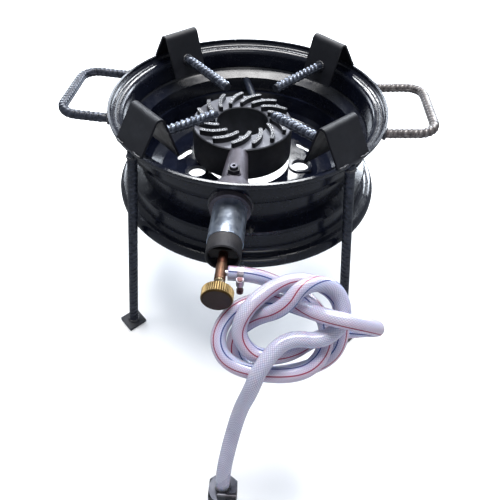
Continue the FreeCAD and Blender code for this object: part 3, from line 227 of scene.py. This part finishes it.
def stripe(paint, across, centre, half, soft):
    """1 on a lengthwise line round the hose at share centre, and 0 away from it."""
    gap = paint.math("FRACT", paint.math("SUBTRACT", across, centre - 0.5))
    gap = paint.math("ABSOLUTE", paint.math("SUBTRACT", gap, 0.5))
    return paint.span(gap, half, half + soft, 1.0, 0.0)


def thread(paint, value):
    """Lines at every whole number of value."""
    width = 0.24
    rest = paint.math("FRACT", value)
    rest = paint.math("ABSOLUTE", paint.math("SUBTRACT", rest, 0.5))
    return paint.span(rest, 0.5 - width, 0.5, smooth=True)


# Each stripe's place round the hose, and the colours of its halo and of the line itself.
STRIPES = (
    (0.70, (0.66, 0.34, 0.42), (0.22, 0.008, 0.040)),
    (0.86, (0.30, 0.38, 0.68), (0.012, 0.030, 0.15)),
)


def hose_skin():
    """Clear PVC over a polyester braid: cloudy wall, crossed threads, a red and a blue line."""
    paint = Paint("HoseSkin", IOR=1.45, Subsurface_Weight=0.25, Subsurface_Scale=0.004,
                  Coat_Weight=0.5, Coat_Roughness=0.14)
    uv = paint.split(paint.node("UVMap").outputs["UV"])
    across, along = uv["X"], uv["Y"]
    threads_round, thread_pitch = 18.0, 0.0028
    round_share = paint.math("MULTIPLY", across, threads_round)
    long_share = paint.math("MULTIPLY", along, 1 / thread_pitch)
    right_hand = thread(paint, paint.math("ADD", round_share, long_share))
    left_hand = thread(paint, paint.math("SUBTRACT", round_share, long_share))
    braid = paint.math("MAXIMUM", right_hand, left_hand)
    cloud = paint.noise(26.0, 4.0)
    wall = paint.mix(paint.span(cloud, 0.3, 0.7), rgb(0.42, 0.41, 0.52), rgb(0.54, 0.53, 0.64))
    colour = paint.mix(paint.math("MULTIPLY", braid, 0.85), wall, rgb(0.17, 0.18, 0.29))
    for centre, halo, line in STRIPES:
        glow = paint.math("MULTIPLY", stripe(paint, across, centre, 0.03, 0.14), 0.22)
        colour = paint.mix(glow, colour, rgb(*halo))
    for centre, halo, line in STRIPES:
        colour = paint.mix(stripe(paint, across, centre, 0.009, 0.008), colour, rgb(*line))
    paint.colour(colour)
    paint.rough(paint.span(cloud, 0.3, 0.7, 0.24, 0.36))
    paint.bump(paint.math("MULTIPLY_ADD", braid, 0.5, cloud), 0.12, 0.0004)
    return paint.mat


def knob_metal():
    """Knurled knob of pale gilt metal, dark in the grooves."""
    paint = Paint("KnobMetal", Metallic=0.85)
    fine = paint.noise(900.0, 4.0, 0.7)
    drift = paint.noise(60.0, 4.0)
    colour = paint.mix(paint.span(drift, 0.3, 0.7), rgb(0.30, 0.20, 0.08), rgb(0.52, 0.38, 0.18))
    from_axis = {0: paint.place(), 1: (-FEED_X, 0.0, -FEED_HEIGHT)}
    spot = paint.split(paint.node("VectorMath", from_axis, operation="ADD").outputs["Vector"])
    flat = paint.node("CombineXYZ", {"X": spot["X"], "Y": spot["Z"]}).outputs["Vector"]
    reach = paint.node("VectorMath", {0: flat}, operation="LENGTH").outputs["Value"]
    groove = paint.span(reach, 0.0162, 0.0169)
    colour = paint.mix(groove, rgb(0.06, 0.035, 0.012), colour)
    paint.colour(paint.mix(paint.span(fine, 0.55, 0.75), colour, rgb(0.16, 0.10, 0.04)))
    paint.rough(paint.span(fine, 0.3, 0.7, 0.26, 0.42))
    paint.bump(fine, 0.15, 0.0003)
    return paint.mat


def make_materials():
    """Materials by the name of the CAD node or added piece that wears them."""
    bar = enamel("BarPaint", (0.010, 0.013, 0.022), (0.024, 0.029, 0.044), 0.33,
                 grain=0.5, wear=0.15)
    rest = enamel("RestPaint", (0.0045, 0.0050, 0.0080), (0.013, 0.014, 0.019), 0.42,
                  grain=0.45, wear=0.10)
    foot = enamel("FootPaint", (0.010, 0.011, 0.016), (0.025, 0.026, 0.034), 0.38,
                  grain=0.5, wear=0.1)
    made = {
        "rim_barrel": enamel("RimPaint", (0.0030, 0.0040, 0.0095), (0.008, 0.010, 0.019), 0.22,
                             coat=0.2, grain=0.12),
        "wheel_disc": enamel("DiscPaint", (0.0035, 0.0048, 0.012), (0.010, 0.013, 0.028), 0.17,
                             coat=0.45, grain=0.12),
        "burner_top": burner_plate(),
        "burner_body": cast_iron("BurnerIron", (0.010, 0.011, 0.016), (0.022, 0.024, 0.034), 0.45),
        "burner_rear_bar": bar,
        "mixing_tube": cast_iron("TubeIron", (0.045, 0.040, 0.052), (0.11, 0.10, 0.125), 0.45),
        "lock_nut": cast_iron("LockNutSteel", (0.012, 0.012, 0.016), (0.03, 0.03, 0.036), 0.4,
                              grit=0.3),
        "lock_screw": metal("LockScrewSteel", (0.03, 0.03, 0.036), (0.10, 0.10, 0.12), 0.38),
        "galvanised_pipe": galvanised(),
        "end_collar": cast_iron("CollarIron", (0.014, 0.014, 0.018), (0.045, 0.043, 0.046), 0.5),
        "injector_bracket": cast_iron("BracketIron", (0.012, 0.011, 0.012), (0.03, 0.027, 0.026),
                                      0.55),
        "injector_tube": metal("Copper", (0.14, 0.055, 0.04), (0.30, 0.14, 0.10), 0.36,
                               spot=(0.05, 0.025, 0.02)),
        "gas_jet": metal("JetBrass", (0.55, 0.40, 0.18), (0.75, 0.58, 0.28), 0.3),
        "valve_body": metal("ValveBrass", (0.17, 0.09, 0.06), (0.34, 0.20, 0.13), 0.36,
                            spot=(0.06, 0.03, 0.025)),
        "valve_spindle": metal("SpindleSteel", (0.45, 0.43, 0.40), (0.6, 0.57, 0.52), 0.3),
        "gland_nut": metal("GlandBrass", (0.40, 0.30, 0.17), (0.66, 0.54, 0.36), 0.28,
                           spot=(0.2, 0.12, 0.06)),
        "valve_knob": knob_metal(),
        "knob_cap": enamel("KnobCap", (0.020, 0.009, 0.008), (0.036, 0.018, 0.015), 0.32,
                           grain=0.3),
        "hose_barb": metal("BarbZinc", (0.62, 0.63, 0.67), (0.80, 0.81, 0.85), 0.25,
                           metallic=0.9),
        "tail_nipple": metal("NippleSteel", (0.05, 0.05, 0.06), (0.12, 0.12, 0.14), 0.36,
                             metallic=0.8),
        "swivel_nut": metal("NutSteel", (0.030, 0.032, 0.042), (0.075, 0.078, 0.095), 0.34,
                            metallic=0.8),
        "inlet_clip": metal("ClipBand", (0.20, 0.16, 0.19), (0.46, 0.42, 0.48), 0.28),
        "inlet_clip_screw": metal("ClipScrew", (0.05, 0.022, 0.026), (0.15, 0.075, 0.08), 0.32,
                                  metallic=0.8),
        "outlet_clip": metal("TailClipBand", (0.040, 0.040, 0.048), (0.11, 0.11, 0.125), 0.32,
                             metallic=0.85),
        "outlet_clip_screw": metal("TailClipScrew", (0.030, 0.028, 0.034), (0.09, 0.085, 0.095),
                                   0.34, metallic=0.8),
        "handle_left": bar,
        "handle_right": enamel("HandlePaint", (0.050, 0.040, 0.042), (0.095, 0.078, 0.074), 0.45,
                               grain=0.6, wear=0.3),
        # prong ribs: paint rubbed off the crests, and made paler than the leg ribs as a painted
        # highlight
        "rib_wear_and_highlight": metal("RibWearAndHighlight", (0.06, 0.07, 0.095), (0.22, 0.245, 0.30), 0.28,
                            scale=140.0, metallic=0.75),
        "rib_dark": metal("RibPaint", (0.014, 0.017, 0.026), (0.055, 0.062, 0.085), 0.26,
                          scale=160.0, metallic=0.5),
        "rib_brown": metal("RibBrown", (0.06, 0.054, 0.056), (0.22, 0.205, 0.20), 0.32,
                           scale=160.0, metallic=0.5),
        # port lips: painted highlight over worn metal
        "port_ring": metal("PortRing", (0.55, 0.57, 0.60), (0.85, 0.87, 0.90), 0.35,
                           scale=300.0, metallic=0.3),
        "weld": enamel("WeldPaint", (0.012, 0.013, 0.018), (0.05, 0.05, 0.06), 0.30,
                       coat=0.5, grain=0.9, wear=0.2),
        "hose": hose_skin(),
    }
    for corner, angle in CORNERS:
        made["leg_" + corner] = bar
        made["prong_" + corner] = bar
        made["rest_" + corner] = rest
        made["foot_" + corner] = foot
    return made


def wear_material(obj, material):
    obj.data.materials.clear()
    obj.data.materials.append(material)


# ---------------------------------------------------------------- mesh tools

def add_object(name, data):
    obj = bpy.data.objects.new(name, data)
    bpy.context.scene.collection.objects.link(obj)
    return obj


def new_mesh(name, points, faces, material, body, uvs=None):
    mesh = bpy.data.meshes.new(name)
    mesh.from_pydata([tuple(point) for point in points], [], faces)
    if uvs:
        layer = mesh.uv_layers.new(name="UVMap")
        for polygon in mesh.polygons:
            for loop, pair in zip(polygon.loop_indices, uvs[polygon.index]):
                layer.data[loop].uv = pair
    mesh.polygons.foreach_set("use_smooth", [True] * len(mesh.polygons))
    mesh.materials.append(material)
    mesh.update()
    obj = add_object(name, mesh)
    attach(obj, body)
    return obj


def carried_frames(points):
    """Tangent, side and normal at each point, carried along the line without twist."""
    tangents = []
    for index in range(len(points)):
        ahead = points[min(index + 1, len(points) - 1)]
        behind = points[max(index - 1, 0)]
        tangents.append((ahead - behind).normalized())
    side = tangents[0].cross(Vector((0, 0, 1)))
    if side.length < 0.1:
        side = tangents[0].cross(Vector((0, 1, 0)))
    side.normalize()
    frames = []
    for index, tangent in enumerate(tangents):
        if index:
            turn = tangents[index - 1].rotation_difference(tangent)
            side = turn @ side
        side = (side - tangent * side.dot(tangent)).normalized()
        frames.append((tangent, side, tangent.cross(side).normalized()))
    return frames


def lengths_along(points):
    run = [0.0]
    for first, second in zip(points, points[1:]):
        run.append(run[-1] + (second - first).length)
    return run


def stations(points, step):
    """Points at even spacing along a line."""
    run = lengths_along(points)
    count = max(2, round(run[-1] / step))
    made, index = [], 0
    for number in range(count + 1):
        want = run[-1] * number / count
        while index < len(run) - 2 and run[index + 1] < want:
            index += 1
        share = (want - run[index]) / (run[index + 1] - run[index])
        made.append(points[index].lerp(points[index + 1], min(max(share, 0.0), 1.0)))
    return made


def ring_angles(sides):
    return [2 * math.pi * number / sides for number in range(sides)]


def spoke(side, normal, angle, length):
    """Offset of a length at an angle from side towards normal."""
    return (side * math.cos(angle) + normal * math.sin(angle)) * length


def join_rings(count, sides, base=0):
    """Faces between rings of points, each ring of the same number of sides."""
    faces = []
    for ring in range(count - 1):
        near = base + ring * sides
        far = near + sides
        for side in range(sides):
            other = (side + 1) % sides
            faces.append((near + side, near + other, far + other, far + side))
    return faces


def wobble(number):
    """Repeatable value from -1 to 1."""
    value = math.sin(number * 12.9898 + 4.137) * 43758.5453
    return 2.0 * (value - math.floor(value)) - 1.0


def polar(radius, height, angle, across=0.0):
    """Point at a radius and height in the plane at angle, shifted across that plane."""
    turn = math.radians(angle)
    return Vector((radius * math.cos(turn) - across * math.sin(turn),
                   radius * math.sin(turn) + across * math.cos(turn), height))


# ---------------------------------------------------------------- hose

# Control points in millimetres, from the valve's barb to the fitting on the floor.
HOSE_ROUTE = (
    (9, -282, 265), (26, -282, 265), (46, -278, 253), (70, -285, 248), (92, -300, 246),
    (108, -318, 234), (103, -350, 226), (80, -364, 212), (36, -365, 210), (2, -356, 215),
    (-8, -335, 231), (11, -309, 246), (45, -298, 248), (81, -316, 257), (105, -336, 272),
    (143, -338, 266), (158, -325, 245), (152, -311, 224), (118, -307, 209), (93, -326, 219),
    (66, -351, 225), (34, -352, 220), (14, -340, 238), (22, -324, 262), (50, -296, 268),
    (81, -287, 271), (114, -294, 261), (125, -314, 235), (118, -336, 209), (84, -350, 198),
    (40, -355, 191), (12, -345, 202), (10, -328, 224), (32, -317, 239), (60, -327, 268),
    (78, -309, 289), (112, -302, 281), (124, -323, 256), (102, -345, 244), (63, -346, 250),
    (39, -374, 234), (33, -383, 212), (22, -381, 168), (13, -395, 125), (6, -414, 84),
    (6, -414, 50),
)

# Turns of twist at lengths from the valve in metres, read from the stripes in the photograph.
HOSE_TWIST = (
    (0.00, -0.03), (0.05, -0.02), (0.15, 0.04), (0.20, 0.09), (0.28, 0.02), (0.36, 0.04),
    (0.42, 0.25), (0.48, 0.25), (0.60, 0.50), (0.72, 0.64), (0.77, 0.56), (0.87, 0.48),
    (1.05, 0.55), (1.09, 0.57), (1.15, 0.25), (1.22, 0.04), (1.60, 0.04),
)


def hose_line():
    """Points of the smooth line that the route's control points shape."""
    curve = bpy.data.curves.new("HoseLine", "CURVE")
    curve.dimensions = "3D"
    curve.resolution_u = 24
    spline = curve.splines.new("NURBS")
    spline.points.add(len(HOSE_ROUTE) - 1)
    for point, place in zip(spline.points, HOSE_ROUTE):
        point.co = (place[0] / 1000, place[1] / 1000, place[2] / 1000, 1.0)
    spline.order_u = 3
    spline.use_endpoint_u = True
    holder = bpy.data.objects.new("HoseLine", curve)
    mesh = bpy.data.meshes.new_from_object(holder)
    points = [vertex.co.copy() for vertex in mesh.vertices]
    bpy.data.objects.remove(holder)
    return points


def twist_at(run):
    """Turns that the hose is twisted by at a length from the valve."""
    for (near, low), (far, high) in zip(HOSE_TWIST, HOSE_TWIST[1:]):
        if run <= far:
            share = (run - near) / (far - near)
            return low + (high - low) * share * share * (3 - 2 * share)
    return HOSE_TWIST[-1][1]


def make_hose(material):
    line = stations([Vector((0.0, -0.282, 0.265))] + hose_line(), 0.002)
    frames = carried_frames(line)
    run = lengths_along(line)
    last = len(line) - 1
    sides, radius, bore_radius, bore_depth = 28, 0.008, 0.005, 0.006
    plain_uv = (0.55, 0.0)
    points = []
    for place, (tangent, side, normal) in zip(line, frames):
        points += [place + spoke(side, normal, angle, radius) for angle in ring_angles(sides)]
    faces = join_rings(len(line), sides)
    uvs = []
    for ring in range(last):
        near, far = twist_at(run[ring]), twist_at(run[ring + 1])
        for number in range(sides):
            left, right = number / sides, (number + 1) / sides
            uvs.append(((left - near, run[ring]), (right - near, run[ring]),
                        (right - far, run[ring + 1]), (left - far, run[ring + 1])))
    for end, inward in ((0, 1), (last, -1)):
        place, (tangent, side, normal) = line[end], frames[end]
        outer, inner = end * sides, len(points)
        for depth in (0.0, bore_depth):
            for angle in ring_angles(sides):
                offset = spoke(side, normal, angle, bore_radius)
                points.append(place + offset + tangent * depth * inward)
        for number in range(sides):
            other = (number + 1) % sides
            lip = (outer + number, inner + number, inner + other, outer + other)
            deep = inner + sides
            wall = (inner + number, deep + number, deep + other, inner + other)
            for face in (lip, wall):
                faces.append(face if inward > 0 else tuple(reversed(face)))
                uvs.append((plain_uv,) * 4)
    hose = new_mesh("hose", points, faces, material, "stove", uvs)
    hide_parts("hose_lead", "hose_coil", "hose_tail")


# ---------------------------------------------------------------- ribs of the bars

# Section of a slanted rib (shift along the bar, share of its rise), and of a lengthwise rib
# (turn round the bar in radians, height over the bar).
SLANTED_RIB = ((-0.0027, 0.0), (-0.0013, 1.0), (0.0013, 1.0), (0.0027, 0.0))
LONG_RIB = ((-0.22, -0.0002), (-0.10, 0.0005), (0.10, 0.0005), (0.22, -0.0002))


def make_ribs(name, line, material, body, pitch, rise=0.0009, turn=0.0):
    """Slanted ribs that fade out at two lengthwise ribs, over a round bar."""
    sides, slant, sunk = 20, 0.24 * 0.011, 0.00015
    centres = stations(line, pitch)
    frames = carried_frames(centres)
    points, faces = [], []
    for place, (tangent, side, normal) in zip(centres[1:-1], frames[1:-1]):
        faces += join_rings(len(SLANTED_RIB), sides, len(points))
        for shift, share in SLANTED_RIB:
            for angle in ring_angles(sides):
                fade = min(1.0, abs(math.sin(angle)) * 2.2)
                high = BAR_RADIUS - sunk + rise * share * fade
                along = shift - slant * math.cos(angle)
                points.append(place + spoke(side, normal, angle + turn, high) + tangent * along)
    spine = stations(line, 0.012)
    spine_frames = carried_frames(spine)
    width = len(LONG_RIB)
    for flank in (0.0, math.pi):
        base = len(points)
        for place, (tangent, side, normal) in zip(spine, spine_frames):
            for shift, lift in LONG_RIB:
                angle = flank + turn + shift
                points.append(place + spoke(side, normal, angle, BAR_RADIUS + lift))
        for ring in range(len(spine) - 1):
            for column in range(width - 1):
                low = base + ring * width + column
                faces.append((low, low + 1, low + width + 1, low + width))
    made = new_mesh(name, points, faces, material, body)


def handle_line(sign):
    """Centre line of a handle from one root to the other, its ends trimmed inside the flange."""
    trim, half, bend, length = 0.030, HANDLE_HALF_SPAN, HANDLE_BEND, HANDLE_LENGTH
    tilt = math.radians(HANDLE_TILT)
    flat = [(trim, -half), (length - bend, -half)]
    for step in range(1, 9):
        angle = math.pi / 16 * step
        flat.append((length - bend + bend * math.sin(angle),
                     -half + bend - bend * math.cos(angle)))
    flat += [(reach, -across) for reach, across in reversed(flat)]
    base = HANDLE_HEIGHT - (RIM_RADIUS - HANDLE_ROOT) * math.tan(tilt)
    return [Vector((sign * (HANDLE_ROOT + reach * math.cos(tilt)), sign * across,
                    base + reach * math.sin(tilt)))
            for reach, across in flat]


def leg_point(height, angle):
    """Point on a leg's axis."""
    return polar(LEG_FOOT_RADIUS - LEG_LEAN * height, height, angle)


def make_bar_ribs(look):
    for corner, angle in CORNERS:
        make_ribs("ribs_leg_" + corner, [leg_point(0.007, angle), leg_point(0.300, angle)],
                  look["rib_dark"], "stove", turn=math.radians(angle), pitch=0.0075)
        reach = PRONG_REACH[corner]
        tip = polar(reach, PRONG_HEIGHT, angle)
        root = polar(PRONG_ROOT, PRONG_HEIGHT + PRONG_SLOPE * (PRONG_ROOT - reach), angle)
        # the prong ribs wear the rib paint with painted highlight
        make_ribs("ribs_prong_" + corner, [tip, root], look["rib_wear_and_highlight"], "stove",
                  rise=0.0013, pitch=0.0078)
    make_ribs("ribs_handle_right", handle_line(1), look["rib_brown"], "stove", pitch=0.0065)
    make_ribs("ribs_handle_left", handle_line(-1), look["rib_dark"], "stove", pitch=0.0065)


# ---------------------------------------------------------------- burner ports

# Section of a port's lip: radius, height over the ridge.
PORT_LIP = ((0.0014, 0.0), (0.0015, 0.0002), (0.0019, 0.0002), (0.0020, 0.0))


def ridge_point(share, ridge):
    """Point at a share of the way along a swirl ridge's centre line, on the ridge's top."""
    start = Vector((RIDGE_INNER, 0.0))
    sweep = math.radians(RIDGE_SWEEP)
    finish = Vector((RIDGE_OUTER * math.cos(sweep), RIDGE_OUTER * math.sin(sweep)))
    way = (finish - start).normalized()
    across = Vector((-way.y, way.x))
    half = (finish - start).length / 2
    radius = (half * half + RIDGE_BOW * RIDGE_BOW) / (2 * RIDGE_BOW)
    centre = (start + finish) / 2 + across * (RIDGE_BOW - radius)
    reach = math.asin(half / radius)
    spot = centre + spoke(across, way, reach * (2 * share - 1), radius)
    turn = 2 * math.pi * ridge / RIDGE_COUNT
    return Vector((spot.x * math.cos(turn) - spot.y * math.sin(turn) + FEED_X,
                   spot.x * math.sin(turn) + spot.y * math.cos(turn), RIDGE_TOP))


def make_port_rings(material):
    """Near-white lip round each gas port: a painted highlight on the lip, over metal worn bright.
    """
    sides, points, faces = 16, [], []
    for ridge in range(RIDGE_COUNT):
        for share in PORT_SHARES:
            centre = ridge_point(share, ridge)
            faces += join_rings(len(PORT_LIP), sides, len(points))
            for radius, lift in PORT_LIP:
                for angle in ring_angles(sides):
                    points.append(centre + Vector((radius * math.cos(angle),
                                                   radius * math.sin(angle), lift)))
    rings = new_mesh("port_rings", points, faces, material, "stove")


# ---------------------------------------------------------------- weld beads

def make_weld(name, line, size, material, seed):
    """Lumpy bead of weld along a line: overlapping ripples of uneven size."""
    spots = stations(line, size * 0.35)
    sides, points = 10, []
    last = len(spots) - 1
    for index, (place, (tangent, side, normal)) in enumerate(zip(spots, carried_frames(spots))):
        ripple = 0.84 + 0.16 * math.cos(index * 2.1 + seed) + 0.13 * wobble(index // 3 + seed)
        ends = math.sqrt(max(0.02, 1 - (1 - min(index, last - index, 3) / 3) ** 2))
        for number, angle in enumerate(ring_angles(sides)):
            lump = 1 + 0.09 * wobble(index * 7 + number * 3 + seed)
            points.append(place + spoke(side, normal, angle, size) * ripple * ends * lump)
    faces = join_rings(len(spots), sides)
    faces.append(tuple(range(sides - 1, -1, -1)))
    faces.append(tuple(range(len(points) - sides, len(points))))
    bead = new_mesh(name, points, faces, material, "stove")
    smooth = bead.modifiers.new("smooth", "SUBSURF")
    smooth.levels = smooth.render_levels = 1


def ring_round(centre, side, normal, radius, start=0.0, finish=360.0, steps=24):
    """Points of an arc from start to finish in degrees, from side towards normal."""
    made = []
    for step in range(steps + 1):
        angle = math.radians(start + (finish - start) * step / steps)
        made.append(centre + spoke(side, normal, angle, radius))
    return made


def handle_root_ring(sign, arm):
    """Ring round a handle's arm where it meets the rim's round edge."""
    ring, edge, radius = [], 0.1952, 0.0068
    for step in range(25):
        turn = 2 * math.pi * step / 24
        across = HANDLE_HALF_SPAN * arm + radius * math.cos(turn)
        ring.append(Vector((sign * math.sqrt(edge ** 2 - across ** 2), across,
                            0.3073 + radius * math.sin(turn))))
    return ring


def make_welds(look):
    weld = look["weld"]
    up = Vector((0, 0, 1))
    for number, (corner, angle) in enumerate(CORNERS):
        out = polar(1, 0, angle)
        side = polar(0, 0, angle, 1)
        top = ring_round(leg_point(0.3015, angle), out, side, 0.0063, -115, 115)
        make_weld("weld_leg_top_" + corner, top, 0.0024, weld, seed=number)
        low = polar(LEG_FOOT_RADIUS - LEG_LEAN * 0.006, 0.0062, angle)
        make_weld("weld_leg_foot_" + corner, ring_round(low, out, side, 0.0068), 0.0020, weld,
                  seed=number + 5)
        plane = out * REST_FACE[0] + up * REST_FACE[1]
        hit = ring_round(polar(0.1452, 0.3174, angle), plane, side, 0.0070)
        make_weld("weld_prong_" + corner, hit, 0.0022, weld, seed=number + 9)
        for half, start in (("a", -0.0270), ("b", 0.0110)):
            bead = [polar(0.1955 - 0.0005 * abs(step - 2), 0.3160, angle, start + 0.004 * step)
                    for step in range(5)]
            make_weld("weld_rest_%s_%s" % (half, corner), bead, 0.0019, weld, seed=number + 13)
    for sign, name in ((1, "right"), (-1, "left")):
        for arm, label in ((1, "rear"), (-1, "front")):
            make_weld("weld_handle_%s_%s" % (name, label), handle_root_ring(sign, arm), 0.0026,
                      weld, seed=sign + 3 * arm + 20)
    feed = Vector((FEED_X, -0.1745, FEED_HEIGHT))
    right = Vector((1, 0, 0))
    for name, start, finish, seed in (("left", 125, 205, 31), ("right", -30, 60, 37)):
        arc = ring_round(feed, right, up, 0.0262, start, finish, 16)
        make_weld("weld_feed_" + name, arc, 0.0027, weld, seed=seed)


# ---------------------------------------------------------------- stage, light and camera

def make_floor():
    size = 6.0
    points = [(-size, -size, 0), (size, -size, 0), (size, size, 0), (-size, size, 0)]
    mesh = bpy.data.meshes.new("floor")
    mesh.from_pydata(points, [], [(0, 1, 2, 3)])
    paint = Paint("FloorPaper")
    tint = paint.noise(3.0, 3.0)
    paint.colour(paint.mix(tint, rgb(0.93, 0.935, 0.95), rgb(0.96, 0.96, 0.97)))
    paint.rough(paint.span(tint, 0.3, 0.7, 0.75, 0.85))
    mesh.materials.append(paint.mat)
    floor = add_object("floor", mesh)
    floor.location.z = -0.0005
    floor.visible_glossy = False


def make_light(name, place, target, size, power, colour=(1, 1, 1)):
    data = bpy.data.lights.new(name, "AREA")
    data.shape = "RECTANGLE"
    data.size, data.size_y = size
    data.energy = power
    data.color = colour
    light = add_object(name, data)
    light.location = place
    way = Vector(target) - Vector(place)
    light.rotation_euler = way.to_track_quat("-Z", "Y").to_euler()


def make_lights():
    world = bpy.data.worlds.new("studio")
    bpy.context.scene.world = world
    world.use_nodes = True
    back = world.node_tree.nodes["Background"]
    back.inputs["Color"].default_value = rgb(0.86, 0.92, 1.0)
    back.inputs["Strength"].default_value = 0.34
    daylight = (0.84, 0.91, 1.0)
    make_light("ceiling", (0.0, 0.3, 2.6), (0, 0.1, 0), (1.8, 0.9), 100, (1.0, 0.99, 0.98))
    make_light("window_left", (-1.3, 2.0, 0.95), (0, 0, 0.3), (0.9, 1.3), 45, daylight)
    make_light("window_right", (1.2, 2.05, 0.95), (0, 0, 0.3), (1.0, 1.3), 95, daylight)
    make_light("back", (-0.15, 2.4, 2.35), (0, 0, 0.25), (0.9, 0.45), 42, (0.96, 0.98, 1.0))
    make_light("front", (0.5, -1.9, 2.3), (0, -0.2, 0.2), (1.2, 0.8), 9)


def make_camera():
    """Camera at the photograph's place, with its focal length given in pixels of the picture."""
    focal_pixels, picture_width, sensor_width = 526.8707, 500, 36.0
    data = bpy.data.cameras.new("camera")
    data.sensor_width = sensor_width
    data.lens = focal_pixels / picture_width * sensor_width
    data.shift_x = 0.0003
    data.shift_y = -0.1190
    data.clip_start = 0.01
    camera = add_object("camera", data)
    right = Vector((0.997265, 0.071197, 0.019849))
    up = Vector((-0.061014, 0.641423, 0.764758))
    back = Vector((0.041717, -0.763877, 0.644012))
    turn = Matrix((right, up, back)).transposed().to_4x4()
    camera.matrix_world = Matrix.Translation((0.041044, -0.652376, 0.693768)) @ turn
    bpy.context.scene.camera = camera


def main():
    bpy.context.scene.view_settings.view_transform = "Standard"
    make_camera()
    look = make_materials()
    make_hose(look["hose"])
    for name, obj in NODES.items():
        if name in look:
            wear_material(obj, look[name])
    make_bar_ribs(look)
    make_port_rings(look["port_ring"])
    make_welds(look)
    make_floor()
    make_lights()


main()
